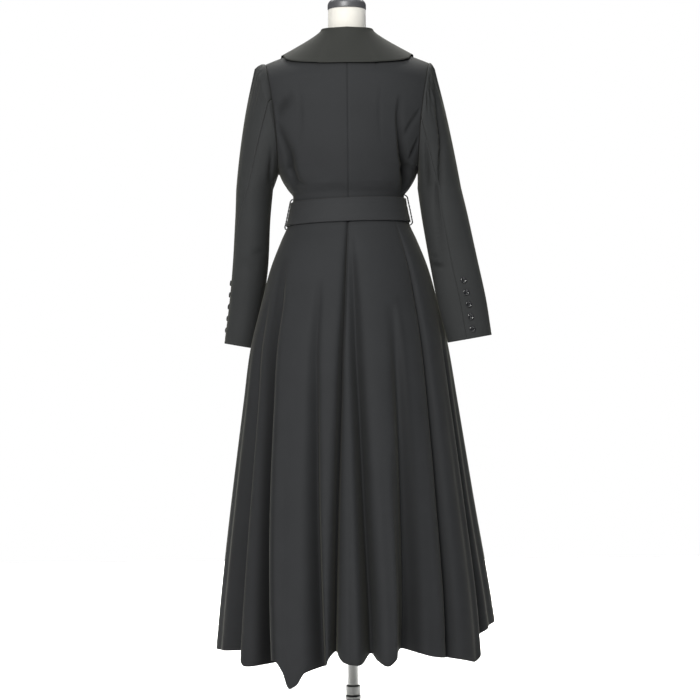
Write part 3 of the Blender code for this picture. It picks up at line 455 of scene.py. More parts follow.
BACK_CREASES = {
    1: (
        (
            (0.615, 0.715, 0.0000, 0.010, 0.0040),
            (0.598, 0.670, 0.0030, 0.010, 0.0035),
            (0.585, 0.610, 0.0060, 0.010, 0.0035),
            (0.592, 0.540, 0.0080, 0.012, 0.0040),
            (0.598, 0.460, 0.0105, 0.014, 0.0055),
            (0.585, 0.370, 0.0130, 0.016, 0.0070),
            (0.600, 0.290, 0.0135, 0.016, 0.0085),
            (0.690, 0.210, 0.0105, 0.014, 0.0100),
            (0.800, 0.130, 0.0000, 0.012, 0.0100),
        ),
        (
            (1.00, 0.680, 0.0000, 0.006, 0.003),
            (0.88, 0.632, 0.0030, 0.006, 0.003),
            (0.76, 0.580, 0.0035, 0.006, 0.003),
            (0.64, 0.520, 0.0000, 0.006, 0.003),
        ),
        (
            (1.00, 0.555, 0.0000, 0.007, 0.003),
            (0.90, 0.513, 0.0035, 0.007, 0.003),
            (0.79, 0.450, 0.0045, 0.007, 0.003),
            (0.68, 0.370, 0.0000, 0.007, 0.004),
        ),
        (
            (1.00, 0.400, 0.0000, 0.007, 0.004),
            (0.92, 0.370, 0.0045, 0.007, 0.004),
            (0.80, 0.290, 0.0000, 0.007, 0.005),
        ),
        short_fold((0.37, 0.78), (0.355, 0.62), (0.35, 0.46), 0.0010, 0.005, 0.005),
        short_fold((0.16, 0.21), (0.33, 0.20), (0.50, 0.19), -0.0013, 0.005, 0.005),
        short_fold((0.06, 0.165), (0.26, 0.16), (0.46, 0.16), -0.0011, 0.004, 0.004),
    ),
    -1: (
        (
            (0.640, 0.735, 0.0000, 0.006, 0.012),
            (0.717, 0.702, 0.0030, 0.006, 0.012),
            (0.800, 0.685, 0.0050, 0.006, 0.012),
            (0.890, 0.665, 0.0040, 0.006, 0.012),
            (0.960, 0.640, 0.0000, 0.006, 0.012),
        ),
        (
            (0.985, 0.610, 0.0000, 0.006, 0.012),
            (0.900, 0.565, 0.0045, 0.006, 0.012),
            (0.815, 0.515, 0.0065, 0.006, 0.012),
            (0.730, 0.455, 0.0080, 0.006, 0.013),
            (0.665, 0.395, 0.0090, 0.007, 0.013),
            (0.622, 0.320, 0.0090, 0.007, 0.013),
            (0.605, 0.245, 0.0075, 0.007, 0.012),
            (0.650, 0.190, 0.0045, 0.007, 0.010),
            (0.720, 0.140, 0.0000, 0.007, 0.010),
        ),
        short_fold((0.55, 0.78), (0.543, 0.62), (0.54, 0.46), 0.0016, 0.005, 0.005),
        short_fold((0.62, 0.225), (0.53, 0.195), (0.44, 0.165), 0.0030, 0.006, 0.006),
        short_fold((0.08, 0.20), (0.25, 0.19), (0.42, 0.185), -0.0012, 0.005, 0.005),
    ),
}
FRONT_CREASES = {
    1: (
        short_fold((0.94, 0.64), (0.72, 0.53), (0.50, 0.42), 0.0045, 0.011, 0.008),
        short_fold((0.86, 0.39), (0.62, 0.29), (0.36, 0.18), 0.0040, 0.010, 0.008),
        short_fold((0.64, 0.32), (0.46, 0.23), (0.28, 0.15), 0.0028, 0.009, 0.007),
    ),
    -1: (
        short_fold((0.90, 0.61), (0.74, 0.50), (0.56, 0.38), 0.0040, 0.012, 0.008),
        short_fold((0.88, 0.41), (0.66, 0.31), (0.42, 0.20), 0.0045, 0.010, 0.008),
        short_fold((0.58, 0.28), (0.48, 0.21), (0.38, 0.14), 0.0023, 0.008, 0.007),
    ),
}
# Crease depth at which the painted shade on the bodice is at its darkest
BODICE_SHADE = 0.013
# Shares of a panel over which the creases fade out, at the side and at the waist
CREASE_FADE = (0.06, 0.15)
SEAM_GROOVE = 0.0008
SIDE_GROOVE_WIDTH = 0.0016
CENTRE_GROOVE_WIDTH = 0.0012
ALLOWANCE = 0.005
ALLOWANCE_DIP = 0.0015
ALLOWANCE_LEAN = 2.0
ALLOWANCE_START = 0.04
BACK_CUT = {"flat": (0.21, 0.40), "area": 0.0695}
FRONT_CUT = {"flat": (0.21, 0.42), "area": 0.0565}
CHARCOAL = (0.0200, 0.0206, 0.0220, 1)
TWILL_PITCH = 0.0011
# Width of one diagonal band of the wave texture at a scale of 1
WAVE_PERIOD = 0.628


def ease(x):
    """A smooth step from 0 to 1."""
    x = np.clip(x, 0, 1)
    return x * x * (3 - 2 * x)


def mix(a, b, share):
    """Points part of the way from a to b."""
    share = np.asarray(share)[..., None]
    return a * (1 - share) + b * share


def unit(vectors):
    """Vectors brought to length 1."""
    return vectors / np.linalg.norm(vectors, axis=-1, keepdims=True)


def normals(surface, u, v, step=1e-4):
    """The surface's normals: the cross product of its central differences."""
    across = surface(u + step, v) - surface(u - step, v)
    along = surface(u, v + step) - surface(u, v - step)
    return unit(np.cross(across, along))


def gathered(count, pull=0.55):
    """Places from 0 to 1 that lie closer together towards both ends."""
    t = np.linspace(0, 1, count)
    return t * (1 - pull) + pull * (1 - np.cos(np.pi * t)) / 2


def rim(points, inside, out_share=0.35):
    """The middle line of the edge all round a grid, a third of the thickness beyond it, and its numbers."""
    rows, columns = points.shape[:2]
    number = np.arange(rows * columns).reshape(rows, columns)
    loop = np.concatenate([number[0, :-1], number[:-1, -1], number[-1, :0:-1], number[:0:-1, 0]])
    row, column = np.divmod(loop, columns)
    inner = np.clip(row, 1, rows - 2), np.clip(column, 1, columns - 2)
    away = unit(points[row, column] - points[inner])
    thick = np.linalg.norm(points[row, column] - inside[row, column], axis=-1, keepdims=True)
    return loop, (points[row, column] + inside[row, column]) / 2 + out_share * thick * away


def shell(name, outside, inside, uv, facing, finish, shade=None):
    """A thin closed shell: two skins of quads and a rounded rim of two strips between their edges."""
    shade = np.zeros(outside.shape[:2]) if shade is None else np.clip(shade, 0, 1)
    rows, columns = outside.shape[:2]
    count = rows * columns
    loop, middle = rim(outside, inside)
    ring = 2 * count + np.arange(len(loop))
    skin = quads(rows, columns)
    faces = [skin, skin[:, ::-1] + count]
    for low, high in ((loop, ring), (ring, loop + count)):
        faces.append(np.stack([np.roll(low, -1), low, high, np.roll(high, -1)], axis=-1))
    points = np.concatenate([outside.reshape(-1, 3), inside.reshape(-1, 3), middle])
    places = np.concatenate([uv.reshape(-1, 2), uv.reshape(-1, 2), uv.reshape(-1, 2)[loop]])
    painted_shades = np.concatenate([shade.ravel(), shade.ravel(), shade.ravel()[loop]])
    return add_piece(name, points, np.concatenate(faces)[:, ::facing], finish, places, painted_shades)


def crease(folds, size, u, v):
    """How far folds pull the cloth in: rounded troughs along curves, each with a width on either side."""
    pull = np.zeros_like(u)
    here = np.stack([u, v], axis=-1)[..., None, :] * size
    walk = np.linspace(0, 1, CREASE_STEPS)
    for rows in folds:
        path = table(CREASE_COLUMNS, *((k / (len(rows) - 1), *row) for k, row in enumerate(rows)))
        line = np.stack([follow(path, "place", walk), follow(path, "rise", walk)], axis=-1) * size
        away = here - line
        near = np.argmin((away**2).sum(axis=-1), axis=-1)
        away = np.take_along_axis(away, near[..., None, None], axis=-2)[..., 0, :]
        way = np.gradient(line, axis=0)[near]
        on_left = way[..., 0] * away[..., 1] > way[..., 1] * away[..., 0]
        width = np.where(on_left, follow(path, "left", walk)[near], follow(path, "right", walk)[near])
        pull += follow(path, "depth", walk)[near] * np.exp(-(away**2).sum(axis=-1) / width**2)
    return pull


def armhole(face, angle):
    """The armhole seam of the right side: 0 at the shoulder tip, 180 at the underarm."""
    angle = np.radians(angle)
    height = (1 + np.cos(angle)) / 2
    bulge = np.sin(angle)
    point = mix(UNDERARM, SHOULDER_TIP, height)
    point[..., 0] -= ARMHOLE_HOLLOW[face] * bulge**2
    point[..., 1] += ARMHOLE_REACH[face] * np.abs(bulge) * (-1 if face == "back" else 1)
    return point


def row_points(face, place, rise):
    """Arcs of the right half from the centre line (place 0) to the side seam or armhole (place 1)."""
    rows = BACK if face == "back" else FRONT
    seam = np.stack([follow(SIDE_SEAM, "x", rise), 0 * rise, follow(SIDE_SEAM, "z", rise)], axis=-1)
    hole = armhole(face, 180 * (1 - np.clip((rise - UNDERARM_RISE) / (1 - UNDERARM_RISE), 0, 1)))
    side = np.where((rise <= UNDERARM_RISE)[..., None], seam, hole)
    turn = np.radians(follow(rows, "turn", rise))
    depth = follow(rows, "depth", rise) * (-1 if face == "back" else 1)
    height = follow(rows, "z", rise)
    bow = (1 - np.cos(turn * place)) / (1 - np.cos(turn))
    x = side[..., 0] * np.sin(turn * place) / np.sin(turn)
    y = depth + (side[..., 1] - depth) * bow
    z = height + (side[..., 2] - height) * place**2
    return np.stack([x, y, z], axis=-1)


def back_top(place):
    """Top edge of the right back: a quarter of the neckline, then the straight shoulder seam."""
    x = row_points("back", place, np.ones_like(place))[..., 0]
    share = np.clip(x / NECK_SIDE[0], 0, 1)
    neck_y = NECK_SIDE[1] + (NECK_BACK[1] - NECK_SIDE[1]) * np.sqrt(1 - share**2)
    neck_z = NECK_BACK[2] + (NECK_SIDE[2] - NECK_BACK[2]) * share**2
    neck = np.stack([x, neck_y, neck_z], axis=-1)
    along = np.clip((x - NECK_SIDE[0]) / (SHOULDER_TIP[0] - NECK_SIDE[0]), 0, 1)
    return np.where((x < NECK_SIDE[0])[..., None], neck, mix(NECK_SIDE, SHOULDER_TIP, along))


def bodice_back(side, place, rise):
    """A back panel: arcs that run up into the neckline and the shoulder seam."""
    point = row_points("back", place, rise)
    point = mix(point, back_top(place), ease((rise - SHOULDER_RISE) / (1 - SHOULDER_RISE)))
    return point * (side, 1, 1)


def bodice_front(side, across, rise):
    """A front panel: across is 0 on the wrapped edge and 1 at the side; the left one lies under the right."""
    front_edge = follow(FRONT_EDGE, "place", rise)
    place = front_edge + (1 - front_edge) * across
    point = row_points("front", place, rise)
    seam = mix(NECK_SIDE, SHOULDER_TIP, np.clip(across, 0, 1))
    point = mix(point, seam, ease((rise - SHOULDER_RISE) / (1 - SHOULDER_RISE)))
    if side < 0:
        sideways = ease((TUCK_PLACE[0] - place) / TUCK_PLACE[1])
        point[..., 1] -= WRAP_TUCK * sideways * ease((TUCK_RISE[0] - rise) / TUCK_RISE[1])
    return point * (side, 1, 1)


def bodice_surface(face, side):
    """The surface of one panel as a function of two places."""
    if face == "back":
        return lambda across, rise: bodice_back(side, across, rise)
    return lambda across, rise: bodice_front(side, across, rise)


def bodice_normals(face, side, across, rise):
    """Outward normals that turn upright at the shoulder seam, so that both panels meet squarely."""
    facing = side if face == "back" else -side
    plain = facing * normals(bodice_surface(face, side), across, rise)
    upright = unit(SHOULDER_UPRIGHT * (side, 1, 1))
    seam_start = NECK_SHARE if face == "back" else 0.0
    near_top = ease((rise - (1 - SHOULDER_BLEND)) / SHOULDER_BLEND)
    near_seam = ease((across - seam_start + SHOULDER_BLEND) / SHOULDER_BLEND)
    return unit(mix(plain, upright, near_top * near_seam))


def allowance(rise):
    """Width of the strip past the armhole that is turned into the sleeve; next to none at the side seam."""
    return SEAM_GAP / 4 + ALLOWANCE * ease((rise - UNDERARM_RISE) / ALLOWANCE_START)


def suiting(name, colour):
    """Charcoal twill: fine diagonal bands and fibre noise for height, mottling, and painted fold shade."""
    made, shader, link, node = principled(name, colour, roughness=0.75)
    shader.inputs["Specular IOR Level"].default_value = 0.08
    shader.inputs["Sheen Weight"].default_value = 0.05
    shader.inputs["Sheen Roughness"].default_value = 0.40
    shader.inputs["Sheen Tint"].default_value = (1.0, 0.98, 0.78, 1)
    place = node("ShaderNodeTexCoord")
    bands = WAVE_PERIOD / TWILL_PITCH
    twill = node("ShaderNodeTexWave", Scale=bands, Distortion=0.6, Detail=1.0, Detail_Scale=2.0)
    twill.bands_direction = "DIAGONAL"
    fibre = node("ShaderNodeTexNoise", Scale=1500.0, Detail=2.0)
    height = node("ShaderNodeMath")
    bump = node("ShaderNodeBump", Strength=0.10, Distance=0.0002)
    mottle = node("ShaderNodeTexNoise", Scale=14.0, Detail=4.0, Roughness=0.55)
    tint = node("ShaderNodeMapRange", To_Min=0.88, To_Max=1.12)
    # Painted shade: the base colour is darkened by up to 78 per cent where the shade attribute marks a fold
    fold = node("ShaderNodeAttribute")
    fold.attribute_name = "shade"
    dim = node("ShaderNodeMapRange", To_Min=1.0, To_Max=0.22)
    both = node("ShaderNodeMath")
    both.operation = "MULTIPLY"
    shade = node("ShaderNodeVectorMath")
    shade.operation = "SCALE"
    shade.inputs[0].default_value = colour[:3]
    gloss = node("ShaderNodeMapRange", To_Min=0.70, To_Max=0.80)
    link(place.outputs["UV"], twill.inputs["Vector"])
    link(place.outputs["UV"], fibre.inputs["Vector"])
    link(place.outputs["Object"], mottle.inputs["Vector"])
    link(twill.outputs["Fac"], height.inputs[0])
    link(fibre.outputs["Fac"], height.inputs[1])
    link(height.outputs["Value"], bump.inputs["Height"])
    link(bump.outputs["Normal"], shader.inputs["Normal"])
    link(mottle.outputs["Fac"], tint.inputs["Value"])
    link(fold.outputs["Fac"], dim.inputs["Value"])
    link(tint.outputs["Result"], both.inputs[0])
    link(dim.outputs["Result"], both.inputs[1])
    link(both.outputs["Value"], shade.inputs["Scale"])
    link(shade.outputs["Vector"], shader.inputs["Base Color"])
    link(mottle.outputs["Fac"], gloss.inputs["Value"])
    link(gloss.outputs["Result"], shader.inputs["Roughness"])
    return made


cloth = suiting("charcoal_suiting", CHARCOAL)
seam_share = SEAM_GAP / 2 / PANEL
low_rises = np.linspace(seam_share[1], SHOULDER_RISE, 80)
rise_steps = np.concatenate([low_rises, np.linspace(SHOULDER_RISE, 1 - seam_share[1], 34)[1:]])
neck_steps = NECK_SHARE * np.sin(np.linspace(0, np.pi / 2, 26))
shoulder_steps = NECK_SHARE + (1 - NECK_SHARE - seam_share[0]) * gathered(64)[1:]
back_steps = np.concatenate([[seam_share[0]], neck_steps[1:], shoulder_steps])
front_steps = gathered(72) * (1 - seam_share[0])
for side, label in ((-1, "left"), (1, "right")):
    for face, steps, cut in (("back", back_steps, BACK_CUT), ("front", front_steps, FRONT_CUT)):
        u, v = np.meshgrid(steps, rise_steps)
        outside = bodice_surface(face, side)(u, v)
        groove = SEAM_GROOVE * np.exp(-(((1 - u) * PANEL[0] / SIDE_GROOVE_WIDTH) ** 2))
        if face == "back":
            groove += SEAM_GROOVE * np.exp(-((u * PANEL[0] / CENTRE_GROOVE_WIDTH) ** 2))
        out = bodice_normals(face, side, u, v)
        pull = crease((BACK_CREASES if face == "back" else FRONT_CREASES)[side], PANEL, u, v)
        pull = pull * ease((1 - u) / CREASE_FADE[0]) * ease(v / CREASE_FADE[1])
        outside = outside - (groove + pull)[..., None] * out
        facing = side if face == "back" else -side
        flat_place = np.stack([u, v], axis=-1) * PANEL
        strip = allowance(v[:, -1:])[..., None]
        way = unit(outside[:, -1:] - outside[:, -2:-1]) + np.array([ALLOWANCE_LEAN * side, 0, 0])
        turned_in = outside[:, -1:] + strip * unit(way)
        turned_in = turned_in - strip / ALLOWANCE * ALLOWANCE_DIP * out[:, -1:]
        outside = np.concatenate([outside, turned_in], axis=1)
        out = np.concatenate([out, out[:, -1:]], axis=1)
        flat_place = np.concatenate([flat_place, flat_place[:, -1:] + strip * (1, 0)], axis=1)
        inside = outside - CLOTH * out
        # Painted shade: the bodice is darkened along its creases, in step with how deep they pull it in
        shade = np.pad(pull / BODICE_SHADE, ((0, 0), (0, 1)), mode="edge")
        piece = shell(f"bodice_{face}_{label}_cloth", outside, inside, flat_place, facing, cloth, shade)
        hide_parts(f"bodice_{face}_{label}")


# Skirt
# Four flared panels of the same suiting, joined at the sides and wrapped at the front, and turned up at the
# hem. It hangs from the waist seam in soft folds, with one pressed pleat at the centre back.
SKIRT = table(
    "drop half_width back front shift",
    (0.000, 0.1230, 0.094, 0.098, 0.0000),
    (0.025, 0.1290, 0.099, 0.103, 0.0000),
    (0.060, 0.1445, 0.114, 0.116, 0.0000),
    (0.123, 0.1690, 0.138, 0.136, 0.0000),
    (0.185, 0.1857, 0.156, 0.151, 0.0000),
    (0.293, 0.2120, 0.182, 0.172, -0.0010),
    (0.400, 0.2285, 0.202, 0.188, 0.0005),
    (0.612, 0.2600, 0.238, 0.214, 0.0035),
    (0.825, 0.2905, 0.270, 0.238, 0.0085),
    (0.960, 0.3060, 0.286, 0.250, 0.0105),
)
FOLD_COLUMNS = "hem waist knee start depth left right"
FOLDS = table(
    FOLD_COLUMNS,
    (-200, -200, -200, 0.00, 0.000, 5.0, 5.0),
    (-145, -143, -144, 0.30, 0.024, 7.0, 6.0),
    (-114, -112, -113, 0.22, 0.032, 6.0, 8.0),
    (-90, -90, -90, 0.00, 0.000, 5.0, 5.0),
    (-64, -67, -66, 0.20, 0.030, 3.0, 5.0),
    (-43, -52, -50, 0.12, 0.056, 6.0, 2.5),
    (-15, -20, -18, 0.22, 0.018, 6.0, 3.5),
    (-10.3, -0.5, -6.2, 0.00, 0.042, 1.4, 4.0),
    (7, 2, 5.5, 0.03, 0.032, 5.0, 4.0),
    (23, 27, 28, 0.30, 0.034, 5.0, 5.0),
    (42, 50, 48, 0.03, 0.026, 6.0, 1.7),
    (64, 70, 70, 0.30, 0.030, 2.5, 6.0),
    (90, 90, 90, 0.00, 0.000, 5.0, 5.0),
    (111, 109, 110, 0.28, 0.030, 8.0, 6.0),
    (140, 138, 139, 0.20, 0.028, 6.0, 6.0),
    (200, 200, 200, 0.00, 0.000, 5.0, 5.0),
)
# The narrow troughs in which the main folds end, and smaller folds between them, in the same columns
FLUTES = table(
    FOLD_COLUMNS,
    (-145, -143, -144, 0.25, 0.022, 2.6, 3.2),
    (-114, -112, -113, 0.20, 0.026, 3.0, 2.6),
    (-64, -67, -66, 0.20, 0.009, 3.0, 3.5),
    (-43, -52, -50, 0.16, 0.026, 2.6, 4.5),
    (-15.5, -20, -18.5, 0.16, 0.028, 3.6, 1.9),
    (-10.3, -0.5, -6.2, 0.00, 0.012, 0.7, 1.0),
    (6, 1.5, 5, 0.06, 0.030, 3.8, 2.4),
    (22.5, 27, 27.5, 0.22, 0.032, 4.2, 2.2),
    (42, 50, 48, 0.03, 0.018, 1.4, 0.9),
    (64, 70, 70, 0.25, 0.014, 2.6, 3.2),
    (111, 109, 110, 0.24, 0.024, 3.0, 2.4),
    (140, 138, 139, 0.18, 0.024, 2.4, 3.0),
    (-170, -168, -169, 0.35, 0.006, 3.0, 4.0),
    (-128, -128, -128, 0.40, 0.009, 3.0, 3.0),
    (-100, -99, -100, 0.35, 0.008, 3.0, 2.5),
    (-77, -78, -78, 0.30, 0.007, 3.0, 3.5),
    (-31, -36, -34, 0.45, 0.004, 3.5, 3.0),
    (-2, 0, -1.5, 0.45, 0.004, 1.5, 1.5),
    (14.5, 15, 15, 0.55, 0.003, 1.6, 1.6),
    (18.5, 21, 21, 0.55, 0.012, 1.5, 2.2),
    (33, 38, 37, 0.50, 0.004, 3.0, 2.5),
    (55, 60, 60, 0.40, 0.005, 2.6, 2.4),
    (77, 80, 79, 0.30, 0.007, 3.2, 3.2),
    (99, 98, 99, 0.35, 0.008, 3.0, 3.0),
    (125, 124, 125, 0.35, 0.010, 4.0, 3.0),
    (158, 156, 157, 0.40, 0.007, 4.0, 4.0),
)
# Painted shade for the deepest folds, darkening the cloth's colour, in the same columns, with a share of
# darkness as the depth
SHADES = table(
    FOLD_COLUMNS,
    (-145, -143, -144, 0.25, 0.5, 2.6, 3.2),
    (-114, -112, -113, 0.20, 0.5, 3.0, 2.6),
    (-62, -70, -67, 0.20, 0.45, 10.0, 9.0),
    (-46.5, -57, -53, 0.10, 1.00, 3.0, 6.0),
    (-34.5, -44, -41, 0.30, 0.50, 1.2, 1.2),
    (-17, -20, -18.7, 0.16, 0.60, 3.0, 2.0),
    (-10.3, -0.5, -6.2, 0.00, 0.60, 2.0, 1.0),
    (5, 4, 6.3, 0.10, 0.60, 3.4, 3.0),
    (19.5, 24, 24, 0.60, 0.45, 2.0, 1.6),
    (26, 31.5, 31.5, 0.20, 0.60, 2.6, 2.2),
    (42, 50, 48, 0.03, 0.60, 1.2, 1.0),
    (64, 70, 70, 0.20, 0.35, 18.0, 20.0),
    (111, 109, 110, 0.24, 0.5, 3.0, 2.4),
    (140, 138, 139, 0.18, 0.5, 2.4, 3.0),
)
HEM = table(
    "angle height",
    (-200, 0.185),
    (-110, 0.184),
    (-82, 0.180),
    (-64, 0.187),
    (-54, 0.163),
    (-45, 0.170),
    (-35, 0.186),
    (-30.7, 0.165),
    (-27.2, 0.134),
    (-24.2, 0.142),
    (-21.2, 0.166),
    (-14, 0.178),
    (-10.3, 0.202),
    (-6, 0.186),
    (1, 0.181),
    (6.5, 0.198),
    (8.5, 0.186),
    (12, 0.178),
    (21, 0.204),
    (33, 0.190),
    (45, 0.180),
    (54, 0.170),
    (60, 0.184),
    (70, 0.220),
    (88, 0.232),
    (120, 0.197),
    (200, 0.185),
)
FOLD_GROWTH = 0.8
FLUTE_GROWTH = 0.6
SHADE_GROWTH = 0.4
WRAP = 16
# Angle at which the tuck of the left front starts, and the angle over which it grows
TUCK_ANGLES = (-148, 12)
PLEAT_ANGLE = -10.3
PLEAT_LAP = 1.2
PLEAT_TUCK = 0.007
HEM_DEPTH = 0.035
HEM_GROOVE = 0.0005
HEM_GROOVE_WIDTH = 0.0025
SKIRT_LENGTH = 0.92
SKIRT_FLAT_RADIUS = 0.26
SKIRT_SEAM_GAP = 0.04
SKIRT_CUTS = {
    "skirt_front_left": {"first": -180 - WRAP, "last": -90, "flat": (0.65, 0.96), "area": 0.387},
    "skirt_back_left": {"first": -90, "last": PLEAT_ANGLE + PLEAT_LAP, "flat": (0.62, 1.00), "area": 0.377},
    "skirt_back_right": {"first": PLEAT_ANGLE, "last": 90, "flat": (0.68, 0.98), "area": 0.410},
    "skirt_front_right": {"first": 90, "last": 180 + WRAP, "flat": (0.65, 0.96), "area": 0.386},
}


def valley(x, rounding=0.3):
    """1 on a fold's bottom line and falling away on both sides, with a rounded bottom."""
    return np.exp(rounding - np.sqrt(x * x + rounding * rounding))


def fold_angle(rows, i, down):
    """Angle of a fold's valley at a share of the way down: a parabola through its waist, knee and hem."""
    waist = rows["waist"][i] * (1 - down) * (1 - 2 * down)
    knee = rows["knee"][i] * 4 * down * (1 - down)
    return waist + knee + rows["hem"][i] * down * (2 * down - 1)


def trough(x):
    """1 on a fold's bottom line and falling away evenly on both sides, with steep flanks."""
    return np.exp(-x * x)


def fold_push(rows, section, power, angle, down):
    """How far all folds of a table move the cloth in: each grows by a power from its start to the hem."""
    push = np.zeros_like(angle)
    for k in np.flatnonzero(rows["depth"]):
        away = angle - fold_angle(rows, k, down)
        width = np.where(away < 0, rows["left"][k], rows["right"][k])
        start = rows["start"][k]
        growth = np.clip((down - start) / (1 - start), 0, 1) ** power
        push += rows["depth"][k] * growth * section(away / width)
    return push


def skirt_angle(column, down):
    """Angle at a share of the way down of the cloth that is at an angle of column at the hem."""
    hems = FOLDS["hem"]
    i = np.clip(np.searchsorted(hems, column, side="right") - 1, 0, len(hems) - 2)
    share = (column - hems[i]) / (hems[i + 1] - hems[i])
    return fold_angle(FOLDS, i, down) * (1 - share) + fold_angle(FOLDS, i + 1, down) * share


def skirt(column, down, tuck=0.0):
    """Ellipses that widen downwards, moved in at the folds; column is the angle at the hem."""
    angle = skirt_angle(column, down)
    push = -tuck * ease((TUCK_ANGLES[0] - column) / TUCK_ANGLES[1])
    push = push - fold_push(FOLDS, valley, FOLD_GROWTH, angle, down)
    push = push - fold_push(FLUTES, trough, FLUTE_GROWTH, angle, down)
    drop = down * (WAIST_Z - follow(HEM, "height", column))
    turn = np.radians(angle)
    half_width = follow(SKIRT, "half_width", drop)
    depth = np.where(np.cos(turn) > 0, follow(SKIRT, "back", drop), follow(SKIRT, "front", drop))
    out = unit(np.stack([np.sin(turn) / half_width, -np.cos(turn) / depth], axis=-1))
    x = follow(SKIRT, "shift", drop) + half_width * np.sin(turn) + push * out[..., 0]
    y = -depth * np.cos(turn) + push * out[..., 1]
    return np.stack([x, y, WAIST_Z - drop], axis=-1)


down_steps = SEAM_GAP / 2 + (1 - SEAM_GAP / 2) * np.linspace(0, 1, 132)
for node_name, cut in SKIRT_CUTS.items():
    tuck = WRAP_TUCK if node_name == "skirt_front_left" else 0.0
    first, last = cut["first"] + SKIRT_SEAM_GAP, cut["last"] - SKIRT_SEAM_GAP
    u, v = np.meshgrid(first + (last - first) * gathered(144, pull=0.3), down_steps)
    surface = lambda column, down: skirt(column, down, tuck)
    outside = surface(u, v)
    out = -normals(surface, u, v)
    if node_name == "skirt_back_left":
        outside = outside - (PLEAT_TUCK * ease((u - last) / PLEAT_LAP + 1))[..., None] * out
    length = v * (WAIST_Z - follow(HEM, "height", u))
    groove = HEM_GROOVE * np.exp(-((((1 - v) * SKIRT_LENGTH - HEM_DEPTH) / HEM_GROOVE_WIDTH) ** 2))
    outside = outside - groove[..., None] * out
    flat_place = np.stack([np.radians(u) * SKIRT_FLAT_RADIUS, length], axis=-1)
    # Painted shade: the skirt is darkened along the rows of SHADES
    shade = fold_push(SHADES, trough, SHADE_GROWTH, skirt_angle(u, v), v)
    piece = shell(node_name + "_cloth", outside, outside - CLOTH * out, flat_place, -1, cloth, shade)
    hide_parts(node_name)


# Sleeves
# Two-piece sleeves: an upper and an under piece, joined by a front seam and a back seam that turns
# outwards towards the cuff. The head is eased into the armhole in small gathers and the cuff is turned up.
SLEEVES = {
    1: table(
        "drop z out y half_out half_y tilt seam",
        (0.00, 1.1500, 0.1935, 0.000, 0.0465, 0.056, 0.00, 95),
        (0.21, 1.0840, 0.2050, -0.008, 0.0490, 0.049, 0.06, 98),
        (0.47, 0.9990, 0.2200, -0.022, 0.0500, 0.040, 0.12, 98),
        (0.74, 0.9135, 0.2360, -0.034, 0.0505, 0.034, 0.18, 96),
        (1.00, 0.8290, 0.2525, -0.040, 0.0465, 0.031, 0.17, 100),
    ),
    -1: table(
        "drop z out y half_out half_y tilt seam",
        (0.00, 1.1500, 0.2000, 0.000, 0.0393, 0.056, 0.00, 74),
        (0.20, 1.0840, 0.2050, 0.006, 0.0375, 0.050, 0.04, 40),
        (0.46, 0.9990, 0.2110, 0.025, 0.0380, 0.047, 0.08, 20),
        (0.71, 0.9135, 0.2220, 0.048, 0.0365, 0.046, 0.14, 8),
        (1.00, 0.8180, 0.2370, 0.064, 0.0350, 0.045, 0.18, 2),
    ),
}
SLEEVE_CAP = 0.38
SLEEVE_FULLNESS = {1: 0.0095, -1: 0.021}
UNDER_SLEEVE = 170
GATHERS = 3
GATHER_SPAN = 50
GATHER_DEPTH = 0.0045
GATHER_EDGE = 10
